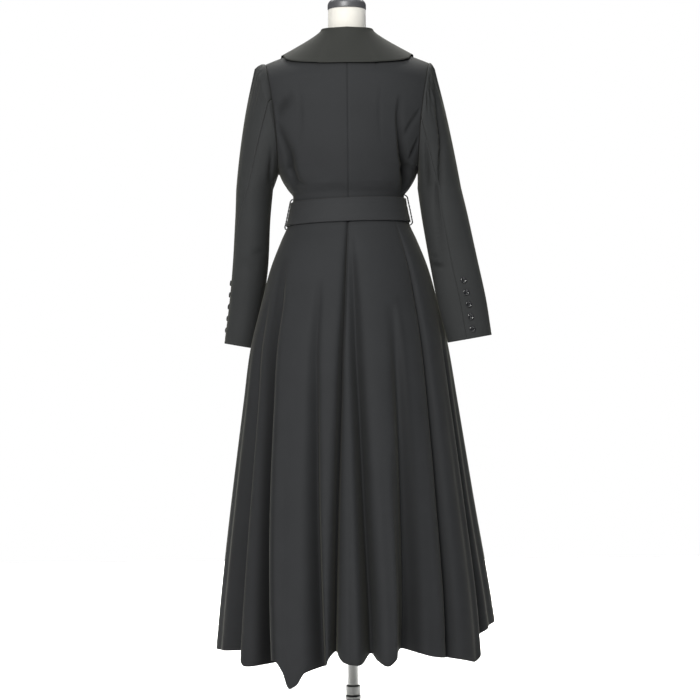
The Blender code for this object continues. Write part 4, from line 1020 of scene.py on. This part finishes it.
# Where the gathers start to fade and over how much they do, in shares of the cap
GATHER_FADE = (0.1, 0.35)
HEAD_TURN = 0.06
HEAD_START = 0.02
PUFF_OUT = 0.3
PUFF_UP = 0.4
SLEEVE_SEAM_GAP = 0.003
SLEEVE_SIZE = np.array([0.00079, 0.60])
ARM_CREASES = {
    1: (
        (
            (32.0, 0.007, 0.0000, 0.012, 0.004),
            (40.0, 0.065, 0.0040, 0.009, 0.004),
            (52.0, 0.130, 0.0060, 0.009, 0.004),
            (59.5, 0.200, 0.0068, 0.009, 0.004),
            (75.5, 0.268, 0.0068, 0.009, 0.004),
            (90.0, 0.340, 0.0060, 0.009, 0.004),
            (103.5, 0.410, 0.0052, 0.009, 0.005),
            (112.0, 0.500, 0.0036, 0.010, 0.006),
            (118.5, 0.615, 0.0018, 0.012, 0.006),
            (122.0, 0.720, 0.0000, 0.012, 0.006),
        ),
        (
            (43, 0.003, 0.0000, 0.005, 0.003),
            (49, 0.020, 0.0032, 0.005, 0.003),
            (56, 0.042, 0.0032, 0.006, 0.003),
            (64, 0.090, 0.0000, 0.006, 0.003),
        ),
        (
            (22, 0.003, 0.0, 0.005, 0.003),
            (29, 0.035, 0.0032, 0.005, 0.003),
            (36, 0.085, 0.0, 0.006, 0.003),
        ),
        (
            (61, 0.003, 0.0, 0.005, 0.003),
            (68, 0.026, 0.0030, 0.005, 0.003),
            (76, 0.065, 0.0, 0.006, 0.003),
        ),
        (
            (100, 0.100, 0.0000, 0.010, 0.007),
            (112, 0.188, 0.0045, 0.010, 0.007),
            (120, 0.260, 0.0055, 0.010, 0.007),
            (126, 0.340, 0.0035, 0.010, 0.007),
            (130, 0.420, 0.0000, 0.010, 0.007),
        ),
        (
            (160, 0.687, 0.002, 0.006, 0.006),
            (142, 0.692, 0.0045, 0.006, 0.006),
            (112, 0.702, 0.0, 0.006, 0.006),
        ),
        short_fold((156, 0.654), (142, 0.657), (124, 0.661), 0.0016, 0.005, 0.005),
        short_fold((-70, 0.615), (-40, 0.64), (-10, 0.67), 0.0026, 0.009, 0.008),
        short_fold((-110, 0.63), (-75, 0.67), (-40, 0.71), 0.0028, 0.008, 0.008),
        short_fold((-36, 0.05), (-50, 0.22), (-64, 0.42), 0.0040, 0.010, 0.008),
    ),
    -1: (
        short_fold((112, 0.08), (128, 0.20), (144, 0.36), 0.0040, 0.009, 0.007),
        short_fold((150, 0.615), (120, 0.63), (90, 0.645), 0.0018, 0.008, 0.008),
        short_fold((50, 0.65), (85, 0.675), (120, 0.70), 0.0015, 0.010, 0.008),
        short_fold((-70, 0.595), (-40, 0.625), (-10, 0.66), 0.0027, 0.009, 0.008),
        short_fold((-110, 0.63), (-75, 0.665), (-40, 0.70), 0.0025, 0.008, 0.008),
        short_fold((-36, 0.05), (-51, 0.23), (-66, 0.44), 0.0040, 0.010, 0.008),
    ),
}
# Crease depth at which the painted shade on the sleeves is at its darkest
SLEEVE_SHADE = 0.013
SLEEVE_GROOVE = 0.0006
SLEEVE_GROOVE_WIDTH = 0.0018
SEAM_FADE = 0.006
SHIRR_SPAN = {1: 72, -1: 48}
SHIRR_EDGE = 15
SHIRR_PITCH = 11
SHIRR_DEPTH = 0.0026
# Where the ripples start to fade and over how much they do, in shares of the sleeve
SHIRR_FADE = (0.04, 0.12)
CUFF_TURN = 0.0065
CUFF_GROOVE = 0.0005
CUFF_GROOVE_WIDTH = 0.0012
# Painted light: a lighter copy of the charcoal, for the light that the sleeves catch
SLEEVE_LIT_CHARCOAL = (0.0230, 0.0238, 0.0244, 1)
UPPER_CUT = {"flat": (0.20, 0.62), "area": 0.0955}
UNDER_CUT = {"flat": (0.14, 0.52), "area": 0.0555}


def sleeve_ring(side, angle, drop):
    """A sleeve section below the armhole: a tilted ellipse on the right side."""
    rows = SLEEVES[side]
    turn = np.radians(angle)
    out = follow(rows, "half_out", drop) * np.cos(turn)
    x = follow(rows, "out", drop) + out
    y = follow(rows, "y", drop) - follow(rows, "half_y", drop) * np.sin(turn)
    z = follow(rows, "z", drop) + follow(rows, "tilt", drop) * out
    return np.stack([x, y, z], axis=-1)


def sleeve(side, angle, along):
    """Straight lines from the armhole to the top ring, puffed out with gathers, then the tapered arm."""
    turn = np.radians(angle)
    cap = np.clip(along / SLEEVE_CAP, 0, 1)
    hole = np.where((np.sin(turn) > 0)[..., None], armhole("back", angle), armhole("front", angle))
    hole = hole + (SEAM_GAP, 0, 0)
    top = ((1 + np.cos(turn)) / 2) ** 1.5
    full = SLEEVE_FULLNESS[side] * (1 - cap**2) * np.sqrt(np.clip(cap / HEAD_TURN, 0, 1))
    wave = np.cos(np.pi * GATHERS * angle / GATHER_SPAN) - 1
    wave = wave * ease((GATHER_SPAN - np.abs(angle)) / GATHER_EDGE) * ease(cap / HEAD_TURN)
    wave = wave * (1 - ease((cap - GATHER_FADE[0]) / GATHER_FADE[1]))
    point = mix(hole, sleeve_ring(side, angle, np.zeros_like(along)), cap)
    puff = full * top + wave * GATHER_DEPTH / 2
    puff_way = unit(np.stack([np.cos(turn) + PUFF_OUT, -np.sin(turn), PUFF_UP * top], axis=-1))
    point = point + puff[..., None] * puff_way
    arm = sleeve_ring(side, angle, np.clip((along - SLEEVE_CAP) / (1 - SLEEVE_CAP), 0, 1))
    return np.where((along < SLEEVE_CAP)[..., None], point, arm) * (side, 1, 1)


def seam_angle(side, along):
    """Angle of the back seam of a sleeve, which turns outwards on its way to the cuff."""
    return follow(SLEEVES[side], "seam", np.clip((along - SLEEVE_CAP) / (1 - SLEEVE_CAP), 0, 1))


def sleeve_angle(side, which, across, along):
    """The upper piece runs over the arm to the back seam (1), the under piece on from it below the arm."""
    if which == "upper":
        return seam_angle(side, along) - (360 - UNDER_SLEEVE) * (1 - across)
    return seam_angle(side, along) + UNDER_SLEEVE * across


sleeve_cloth = suiting("sleeve_suiting_painted_light", SLEEVE_LIT_CHARCOAL)
cap_steps = SLEEVE_CAP * np.linspace(0, 1, 60) ** 1.5
along_steps = np.concatenate([cap_steps, np.linspace(SLEEVE_CAP, 1, 100)[1:]])
for side, label in ((-1, "left"), (1, "right")):
    for which, count, cut in (("upper", 110, UPPER_CUT), ("under", 60, UNDER_CUT)):
        u, v = np.meshgrid(SLEEVE_SEAM_GAP + (1 - 2 * SLEEVE_SEAM_GAP) * gathered(count), along_steps)
        surface = lambda across, along: sleeve(side, sleeve_angle(side, which, across, along), along)
        outside = surface(u, v)
        out = side * normals(surface, u, v)
        angle = sleeve_angle(side, which, u, v)
        span = 360 - UNDER_SLEEVE if which == "upper" else UNDER_SLEEVE
        seam_away = np.minimum(u, 1 - u) * span * SLEEVE_SIZE[0]
        pull = crease(ARM_CREASES[side], SLEEVE_SIZE, angle, v)
        pull = pull * ease(v / HEAD_START) * ease(seam_away / SEAM_FADE)
        # Painted shade: the sleeve is darkened along its creases, in step with how deep they pull it in
        shade = pull / SLEEVE_SHADE
        ripple = np.cos(np.pi * angle / SHIRR_PITCH) ** 2
        ripple = ripple * ease((SHIRR_SPAN[side] - np.abs(angle)) / SHIRR_EDGE)
        fade = 1 - ease((v - SHIRR_FADE[0]) / SHIRR_FADE[1])
        pull = pull + SHIRR_DEPTH * ripple * ease(v / HEAD_START) * fade
        pull += SLEEVE_GROOVE * np.exp(-((seam_away / SLEEVE_GROOVE_WIDTH) ** 2))
        from_cuff = (1 - v) * SLEEVE_SIZE[1]
        pull += CUFF_GROOVE * np.exp(-(((from_cuff - CUFF_TURN) / CUFF_GROOVE_WIDTH) ** 2))
        outside = outside - pull[..., None] * out
        flat_place = np.stack([angle * SLEEVE_SIZE[0], v * SLEEVE_SIZE[1]], axis=-1)
        inside = outside - CLOTH * out
        piece = shell(f"sleeve_{which}_{label}_cloth", outside, inside, flat_place, side, sleeve_cloth, shade)
        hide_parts(f"sleeve_{which}_{label}")


# Collar
# A wide roll collar cut in one with the lapels, turned over a low stand at the neck and lying on the
# shoulders and fronts. The fold is soft, not pressed, and the edge is turned and slightly thick.
COLLAR_SHOULDER = NECK_SHARE
COLLAR_END_RISE = 0.33
COLLAR_LIFT = 0.0052
COLLAR_FOLD = 0.0062
COLLAR_SWELL = -0.003
SWELL_POWER = 0.6
# Where the seam turns from the back to the front, from the shoulder, and over how much it does
COLLAR_TURN = (-0.08, 0.16)
BACK_WAY_STEP = 0.02
FRONT_WAY_STEP = 0.03
# Where the collar starts to lie flat as a lapel, from the shoulder, and over how much it does
LAPEL_FLAT = (0.02, 0.24)
NECK_CENTRE_Y = -0.010
COLLAR_NORMAL_STEP = 0.02
COLLAR_FLAT = np.array([0.43, 0.05])
COLLAR_STAND = table(
    "place height lean",
    (0.00, 0.031, 0.0085),
    (0.30, 0.027, 0.0120),
    (0.46, 0.016, 0.0020),
    (0.62, 0.006, 0.0000),
    (1.00, 0.004, 0.0000),
)
COLLAR_BACK_EDGE = table(
    "place across rise",
    (0.000, 0.000, 0.8385),
    (0.078, 0.125, 0.8385),
    (0.150, 0.245, 0.8395),
    (0.212, 0.415, 0.8475),
    (0.260, 0.555, 0.8600),
    (0.290, 0.675, 0.8850),
    (0.300, 0.723, 1.0000),
)
COLLAR_FRONT_EDGE = table(
    "place across rise",
    (0.300, 0.680, 1.00),
    (0.326, 0.680, 0.93),
    (0.360, 0.675, 0.89),
    (0.460, 0.660, 0.81),
    (0.620, 0.580, 0.68),
    (0.800, 0.420, 0.52),
    (1.000, 0.100, 0.33),
)
# Painted light: a lighter, warmer copy of the charcoal, for the light from above that the collar catches
COLLAR_LIT_CHARCOAL = (0.0250, 0.0256, 0.0238, 1)


def lapel_rise(place):
    """Height on the front's edge where the lapel is sewn on, from the shoulder down to its end."""
    lapel = np.clip((place - COLLAR_SHOULDER) / (1 - COLLAR_SHOULDER), 0, 1)
    return 1 - lapel * (1 - COLLAR_END_RISE)


def collar_seam(side, place):
    """The neck seam, moved on by the seam gap, the front's own edge, and the way on from the front at it."""
    rise = lapel_rise(place)
    zero = np.zeros_like(place)
    one = np.ones_like(place)
    neck_place = COLLAR_SHOULDER * np.clip(place / COLLAR_SHOULDER, 0, 1)
    back_seam = bodice_back(side, neck_place, one)
    front_seam = bodice_front(side, zero, rise)
    back_way = unit(back_seam - bodice_back(side, neck_place, one - BACK_WAY_STEP))
    front_way = unit(front_seam - bodice_front(side, zero + FRONT_WAY_STEP, rise))
    turning = ease((place - COLLAR_SHOULDER - COLLAR_TURN[0]) / COLLAR_TURN[1])
    seam = np.where((place <= COLLAR_SHOULDER)[..., None], back_seam, front_seam)
    return seam + SEAM_GAP * unit(mix(back_way, front_way, turning)), front_seam, front_way


def above_panel(face, side, across, rise, lift):
    """Places on a bodice panel, moved out along its normals."""
    return bodice_surface(face, side)(across, rise) + lift * bodice_normals(face, side, across, rise)


def collar_side(side, place, section):
    """One half: a stand (section 0 to 1), a half-round fold (1 to 2) and the fall to the edge (2 to 3)."""
    seam, front_seam, front_way = collar_seam(side, place)
    rise = lapel_rise(place)
    front_out = bodice_normals("front", side, np.zeros_like(place), rise)
    flat = ease((place - COLLAR_SHOULDER - LAPEL_FLAT[0]) / LAPEL_FLAT[1])
    radial = unit(seam * (1, 1, 0) - (0, NECK_CENTRE_Y, 0))
    out = unit(mix(radial, front_out, flat))
    tip = unit(mix(np.broadcast_to((0.0, 0.0, 1.0), seam.shape), front_way, flat))
    height = follow(COLLAR_STAND, "height", place)[..., None]
    lean = follow(COLLAR_STAND, "lean", place)[..., None]
    inner = seam + height * tip - lean * out
    outer = inner + COLLAR_FOLD * out
    fall = np.clip(section - 2, 0, 1)
    back_across = follow(COLLAR_BACK_EDGE, "across", place)
    back_edge = above_panel("back", side, back_across, follow(COLLAR_BACK_EDGE, "rise", place), COLLAR_LIFT)
    edge_across = follow(COLLAR_FRONT_EDGE, "across", place)
    edge_rise = follow(COLLAR_FRONT_EDGE, "rise", place)
    front_edge = above_panel("front", side, edge_across, edge_rise, COLLAR_LIFT)
    lift = COLLAR_FOLD + (COLLAR_LIFT - COLLAR_FOLD) * fall
    lying_rise = rise + (edge_rise - rise) * fall
    lying = above_panel("front", side, edge_across * fall, lying_rise, lift[..., None])
    start = front_seam + COLLAR_FOLD * front_out
    lying = lying + ((1 - fall) ** 3)[..., None] * (outer - start)
    straight = mix(outer, np.where((place <= COLLAR_SHOULDER)[..., None], back_edge, front_edge), fall)
    straight = straight + (COLLAR_SWELL * np.sin(np.pi * fall**SWELL_POWER))[..., None] * unit(out + tip)
    falling = mix(straight, lying, flat)
    standing = mix(seam, inner, np.clip(section, 0, 1))
    over = np.pi * np.clip(section - 1, 0, 1)
    fold = mix(inner, outer, (1 - np.cos(over)) / 2) + COLLAR_FOLD / 2 * np.sin(over)[..., None] * tip
    point = np.where((section <= 1)[..., None], standing, fold)
    return np.where((section >= 2)[..., None], falling, point)


def collar(place, section):
    """The whole collar, from the left lapel's end (-1) to the right one's (1)."""
    right = collar_side(1, np.abs(place), section)
    left = collar_side(-1, np.abs(place), section)
    return np.where((place >= 0)[..., None], right, left)


neck_half = COLLAR_SHOULDER * np.sin(np.linspace(0, np.pi / 2, 40))
lapel_half = COLLAR_SHOULDER + (1 - COLLAR_SHOULDER) * np.linspace(0, 1, 70)[1:] ** 1.2
half = np.concatenate([neck_half, lapel_half])
place_steps = np.concatenate([-half[:0:-1], half])
section_steps = np.concatenate([np.linspace(0, 1, 8), np.linspace(1, 2, 14)[1:], np.linspace(2, 3, 30)[1:]])
u, v = np.meshgrid(place_steps, section_steps)
outside = collar(u, v)
out = -normals(collar, u, v, COLLAR_NORMAL_STEP)
flat_place = np.stack([u, v], axis=-1) * COLLAR_FLAT
collar_cloth = suiting("collar_suiting_painted_light", COLLAR_LIT_CHARCOAL)
piece = shell("collar_cloth", outside, outside - CLOTH * out, flat_place, -1, collar_cloth)
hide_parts("collar")


# Belt
# A flat sash of two layers of suiting, stitched along both edges. It goes round the waist over the cloth,
# is held by a thread loop at each side, and is tied at the front, where two ends hang from the knot.
BELT_CLOTH = 0.003
BELT_WIDTH = 0.048
BELT_GAP = 0.0014
BELT_TILT = 0.03
BELT_STITCH_IN = 0.004
BELT_STITCH_PITCH = 0.0030
STITCH_HALF_WIDTH = 0.00045
STITCH_SHARE = 0.72
BELT_CREASE = 0.0005
# Pull lines along the belt: place across it, lean with the angle, width and share of the depth
BELT_LINES = (
    (0.74, -0.0006, 0.05, 1.0),
    (0.30, 0.0008, 0.06, 0.7),
)
BELT_END = 179.9
BELT_FLAT_RADIUS = 0.118
BELT_GLOSS = 0.13
KNOT_SIZE = np.array([0.060, 0.030, 0.062])
KNOT_SHARE = 0.45
KNOT_SEAT = 0.0105
KNOT_SLANT = 0.55
KNOT_BOW = 0.18
KNOT_ROUNDNESS = 0.8
KNOT_FLAT_RADIUS = 0.02
# Creases across the knot: place, depth and width as shares of its size
KNOT_CREASES = (
    (-0.72, 0.05, 0.10),
    (-0.28, 0.035, 0.05),
    (0.10, 0.07, 0.07),
    (0.46, 0.03, 0.06),
    (0.85, 0.05, 0.10),
)
TAIL_TOP = 0.62
TAIL_RIPPLE = 0.0012
TAIL_WAVES = (0.4, 2.3)
TAIL_NORMAL_STEP = 1e-3
TAIL_LENGTH = {"over": 0.33, "under": 0.29}
TAIL_START = {"over": -0.010, "under": 0.010}
TAIL_LEAN = {"over": -0.06, "under": 0.08}
TAIL_LIFT = {"over": 0.0078, "under": 0.0042}
TAIL_CUTS = {"over": {"flat": (0.050, 0.36)}, "under": {"flat": (0.050, 0.315)}}


def waist_section(height):
    """Half width, back depth and front depth of the cloth under the belt."""
    rise = np.interp(height, SIDE_SEAM["z"], SIDE_SEAM["rise"])
    drop = WAIST_Z - height
    above = height > WAIST_Z
    return (
        np.where(above, follow(SIDE_SEAM, "x", rise), follow(SKIRT, "half_width", drop)),
        np.where(above, follow(BACK, "depth", rise), follow(SKIRT, "back", drop)),
        np.where(above, follow(FRONT, "depth", rise), follow(SKIRT, "front", drop)),
    )


def belt(angle, up):
    """The cloth under the belt moved out, a little lower on the left, with long faint pull lines."""
    turn = np.radians(angle)
    level = WAIST_Z + (up - 0.5) * BELT_WIDTH
    height = level + BELT_TILT * SIDE_SEAM["x"][0] * np.sin(turn)
    half_width, back, front = waist_section(height)
    line = np.zeros_like(turn * up)
    for place, lean, width, share in BELT_LINES:
        line = line + share * np.exp(-(((up - place - lean * angle) / width) ** 2))
    lift = BELT_GAP + BELT_CLOTH - BELT_CREASE * line
    depth = np.where(np.cos(turn) > 0, back, front) + lift
    return np.stack([(half_width + lift) * np.sin(turn), -depth * np.cos(turn), height], axis=-1)


def tail(which):
    """The right front of the skirt below the knot, moved out; a strip as wide as the belt."""

    def surface(across, along):
        full = WAIST_Z - HEM["height"][0]
        down = (BELT_WIDTH * TAIL_TOP + along * TAIL_LENGTH[which]) / full
        x = TAIL_START[which] + TAIL_LEAN[which] * along * TAIL_LENGTH[which] + (across - 0.5) * BELT_WIDTH
        column = 180 - np.degrees(np.arcsin(x / follow(SKIRT, "half_width", down * full)))
        out = -normals(skirt, column, down, TAIL_NORMAL_STEP)
        return skirt(column, down) + TAIL_LIFT[which] * out

    return surface


def stitched(base, name, half, pitch):
    """The suiting with two lines of raised stitches, at plus and minus half across the strip."""
    made = base.copy()
    made.name = name
    tree = made.node_tree
    shader = tree.nodes["Principled BSDF"]
    link = tree.links.new
    place = tree.nodes.new("ShaderNodeTexCoord")
    parts = tree.nodes.new("ShaderNodeSeparateXYZ")

    def math_node(operation, first, second):
        new = tree.nodes.new("ShaderNodeMath")
        new.operation = operation
        for socket, value in zip(new.inputs, (first, second)):
            if isinstance(value, float):
                socket.default_value = value
            else:
                link(value, socket)
        return new.outputs["Value"]

    link(place.outputs["UV"], parts.inputs["Vector"])
    away = math_node("SUBTRACT", math_node("ABSOLUTE", parts.outputs["Y"], 0.0), half)
    near = math_node("LESS_THAN", math_node("ABSOLUTE", away, 0.0), STITCH_HALF_WIDTH)
    cycle = math_node("FRACT", math_node("DIVIDE", parts.outputs["X"], pitch), 0.0)
    thread = math_node("MULTIPLY", near, math_node("LESS_THAN", cycle, STITCH_SHARE))
    shader.inputs["Specular IOR Level"].default_value = BELT_GLOSS
    bump = tree.nodes.new("ShaderNodeBump")
    bump.inputs["Strength"].default_value = 0.5
    bump.inputs["Distance"].default_value = 0.0004
    link(shader.inputs["Normal"].links[0].from_socket, bump.inputs["Normal"])
    link(thread, bump.inputs["Height"])
    link(bump.outputs["Normal"], shader.inputs["Normal"])
    return made


belt_cloth = stitched(cloth, "stitched_suiting", BELT_WIDTH / 2 - BELT_STITCH_IN, BELT_STITCH_PITCH)
u, v = np.meshgrid(np.linspace(-BELT_END, BELT_END, 257), gathered(18))
outside = belt(u, v)
out = normals(belt, u, v)
flat_place = np.stack([np.radians(u) * BELT_FLAT_RADIUS, (v - 0.5) * BELT_WIDTH], axis=-1)
piece = shell("belt_cloth", outside, outside - BELT_CLOTH * out, flat_place, 1, belt_cloth)
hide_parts("belt")
for which, cut in TAIL_CUTS.items():
    u, v = np.meshgrid(gathered(24), gathered(90, pull=0.3))
    outside = tail(which)(u, v)
    out = normals(tail(which), u, v, TAIL_NORMAL_STEP)
    waves = TAIL_WAVES[1] * v + TAIL_WAVES[0] * u
    ripple = TAIL_RIPPLE * np.sin(2 * np.pi * waves) * np.sin(np.pi * v)
    outside = outside + np.abs(ripple)[..., None] * out
    flat_place = np.stack([v * TAIL_LENGTH[which], (u - 0.5) * BELT_WIDTH], axis=-1)
    piece = shell(f"belt_tail_{which}_cloth", outside, outside - BELT_CLOTH * out, flat_place, 1, belt_cloth)
    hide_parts(f"belt_tail_{which}")
u, v = np.meshgrid(np.linspace(0, 2 * np.pi, 97), np.linspace(0, 1, 65))
around = np.pi * v
lump = np.stack([np.sin(around) * np.cos(u), np.sin(around) * np.sin(u), np.cos(around)], axis=-1)
lump = np.sign(lump) * np.abs(lump) ** KNOT_ROUNDNESS
slant = lump[..., 0] + KNOT_SLANT * lump[..., 2] + KNOT_BOW * lump[..., 2] ** 2
size = np.full_like(slant, KNOT_SHARE)
for place, depth, width in KNOT_CREASES:
    size = size - depth * np.exp(-(((slant - place) / width) ** 2))
front = belt(np.array(180.0), np.array(0.5))
knot_points = size[..., None] * KNOT_SIZE * lump + front + (0, KNOT_SEAT, 0)
flat_place = np.stack([u, around], axis=-1) * KNOT_FLAT_RADIUS
piece = add_piece("belt_knot_cloth", knot_points, quads(*u.shape), belt_cloth, flat_place)
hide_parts("belt_knot")


# Belt loops
# A thread loop at each side seam, worked from two twisted strands of the sewing thread, sewn to the cloth
# above and below the belt and slack enough to let the belt slide.
LOOP_RADIUS = 0.0009
LOOP_ANGLE = 84
LOOP_SLACK = {-1: 0.0006, 1: 0.0028}
LOOP_UP = np.array([1.16, 1.13, 1.06, 0.85, 0.50, 0.15, -0.06, -0.13, -0.17])
LOOP_LEVEL = np.array([0, 0.45, 0.9, 1, 1.05, 1, 0.9, 0.45, 0])
LOOP_LEAN = -0.1
LOOP_TWISTS = 9
STRAND_RADIUS = 0.0010
STRAND_OUT = 0.0006
THREAD_COLOUR = (0.018, 0.018, 0.019, 1)
THREAD_ROUGHNESS = 0.6
# A direction that no thread runs in, from which the circles round a thread are turned
TUBE_SIDE = (0.31, 0.95, 0.05)


def tube(path, radius, sides=12):
    """Circles of one radius along a path of points, in planes across the path."""
    way = unit(np.gradient(path, axis=0))
    first = unit(np.cross(way, TUBE_SIDE))
    second = np.cross(way, first)
    turn = np.linspace(0, 2 * np.pi, sides + 1)
    ring = np.cos(turn)[None, :, None] * first[:, None] + np.sin(turn)[None, :, None] * second[:, None]
    return path[:, None] + radius * ring


def add_tubes(name, tubes, finish):
    """One piece from tubes that have the same number of rings and sides."""
    faces = quads(*tubes[0].shape[:2])
    corners = tubes[0].shape[0] * tubes[0].shape[1]
    points = np.concatenate([one.reshape(-1, 3) for one in tubes])
    all_faces = np.concatenate([faces + k * corners for k in range(len(tubes))])
    return add_piece(name, points, all_faces, finish)


thread, *_ = principled("sewing_thread", THREAD_COLOUR, THREAD_ROUGHNESS)
for side, label in ((-1, "left"), (1, "right")):
    cover = BELT_GAP + BELT_CLOTH - SEAM_GAP
    stand_off = LOOP_RADIUS + SEAM_GAP - cover + LOOP_LEVEL * (cover + LOOP_SLACK[side])
    on_belt = belt(np.full(len(LOOP_UP), side * LOOP_ANGLE), LOOP_UP)
    corner = on_belt + stand_off[:, None] * (side, LOOP_LEAN, 0)
    walk = np.linspace(0, len(corner) - 1, 121)
    line = np.stack([np.interp(walk, np.arange(len(corner)), corner[:, k]) for k in range(3)], axis=-1)
    twist = 2 * np.pi * LOOP_TWISTS * np.linspace(0, 1, len(line))
    sideways = STRAND_OUT * np.stack([np.cos(twist), np.sin(twist), 0 * twist], axis=-1)
    strands = [tube(line + sign * sideways, STRAND_RADIUS) for sign in (1, -1)]
    piece = add_tubes(f"belt_loop_{label}_thread", strands, thread)
    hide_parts(f"belt_loop_{label}")


# Cuff buttons
# Five moulded buttons on each cuff, glossy black, with a raised rim and four holes, sewn on with crossed
# thread beside the back seam.
BUTTON_RADIUS = 0.0064
BUTTON_COUNT = 5
BUTTON_FIRST_Z = 0.949
BUTTON_STEP = 0.0255
BUTTON_FROM_SEAM = 18
HOLE_OUT = 0.0017
HOLE_RADIUS = 0.0007
HOLE_DEPTH = 0.0010
HOLE_ANGLES = (45, 135, 225, 315)
# Where the wall of a hole starts and how wide it is, in radii of the hole
HOLE_WALL = (1.2, 0.4)
BUTTON_UNDER_SHARE = 0.8
SEWN_LOW = 0.0015
SEWN_ARCH = 0.0006
SEWN_RADIUS = 0.0003
BUTTON_ROUGHNESS = 0.16
BUTTON_COLOUR = (0.010, 0.010, 0.011, 1)
BUTTON_PROFILE = table(
    "share height",
    (0.00, 0.0015),
    (0.55, 0.0016),
    (0.66, 0.0019),
    (0.74, 0.0026),
    (0.82, 0.0027),
    (0.90, 0.0026),
    (0.97, 0.0021),
    (1.00, 0.0014),
)


def button_face(share, turn):
    """A disc with a dished middle and a raised rim; four pits lie on a square round its centre."""
    radius = BUTTON_RADIUS * share
    x, y = radius * np.cos(turn), radius * np.sin(turn)
    height = follow(BUTTON_PROFILE, "height", share)
    for spot in np.radians(HOLE_ANGLES):
        away = np.hypot(x - HOLE_OUT * np.cos(spot), y - HOLE_OUT * np.sin(spot))
        inwards = (HOLE_RADIUS * HOLE_WALL[0] - away) / (HOLE_WALL[1] * HOLE_RADIUS)
        height = height - HOLE_DEPTH * ease(inwards)
    return np.stack([x, y, height], axis=-1)


button_finish, button_shader, *_ = principled("black_button", BUTTON_COLOUR, BUTTON_ROUGHNESS)
button_shader.inputs["Coat Weight"].default_value = 0.6
button_shader.inputs["Coat Roughness"].default_value = 0.05
turn, share = np.meshgrid(np.linspace(0, 2 * np.pi, 73), np.linspace(0.001, 1, 45))
face = button_face(share, turn)
rim_share = np.linspace(1, 0, 9)[:, None]
rim_turn = np.linspace(0, 2 * np.pi, 73)[None, :]
below = BUTTON_RADIUS * (BUTTON_UNDER_SHARE + (1 - BUTTON_UNDER_SHARE) * rim_share)
rim_height = BUTTON_PROFILE["height"][-1] * rim_share + 0 * rim_turn
back = np.stack([below * np.cos(rim_turn), below * np.sin(rim_turn), rim_height], axis=-1)
button_grid = np.concatenate([face, back[1:]])
cross = np.linspace(-HOLE_OUT, HOLE_OUT, 13)
arch = SEWN_LOW + SEWN_ARCH * (1 - (cross / HOLE_OUT) ** 4)
for side, label in ((-1, "left"), (1, "right")):
    rows = SLEEVES[side]
    for i in range(BUTTON_COUNT):
        height = BUTTON_FIRST_Z - i * BUTTON_STEP
        drop = np.interp(-height, -rows["z"], rows["drop"])
        along = np.array(SLEEVE_CAP + (1 - SLEEVE_CAP) * drop)
        angle = seam_angle(side, along) - BUTTON_FROM_SEAM
        out = Vector(side * normals(lambda a, b: sleeve(side, a, b), angle, along))
        seat = Vector(sleeve(side, angle, along)) + SEAM_GAP * out
        frame_turn = np.array(out.to_track_quat("Z", "Y").to_matrix())
        place = button_grid @ frame_turn.T + np.array(seat)
        piece = add_piece(f"button_{label}_{i + 1}_moulded", place, quads(*place.shape[:2]), button_finish)
        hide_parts(f"button_{label}_{i + 1}")
        tubes = []
        for spot in np.radians(HOLE_ANGLES[:2]):
            spoke = np.stack([cross * np.cos(spot), cross * np.sin(spot), arch], axis=-1)
            tubes.append(tube(spoke, SEWN_RADIUS, 8) @ frame_turn.T + np.array(seat))
        sewing = add_tubes(f"button_{label}_{i + 1}_thread", tubes, thread)
        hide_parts(f"button_{label}_{i + 1}")
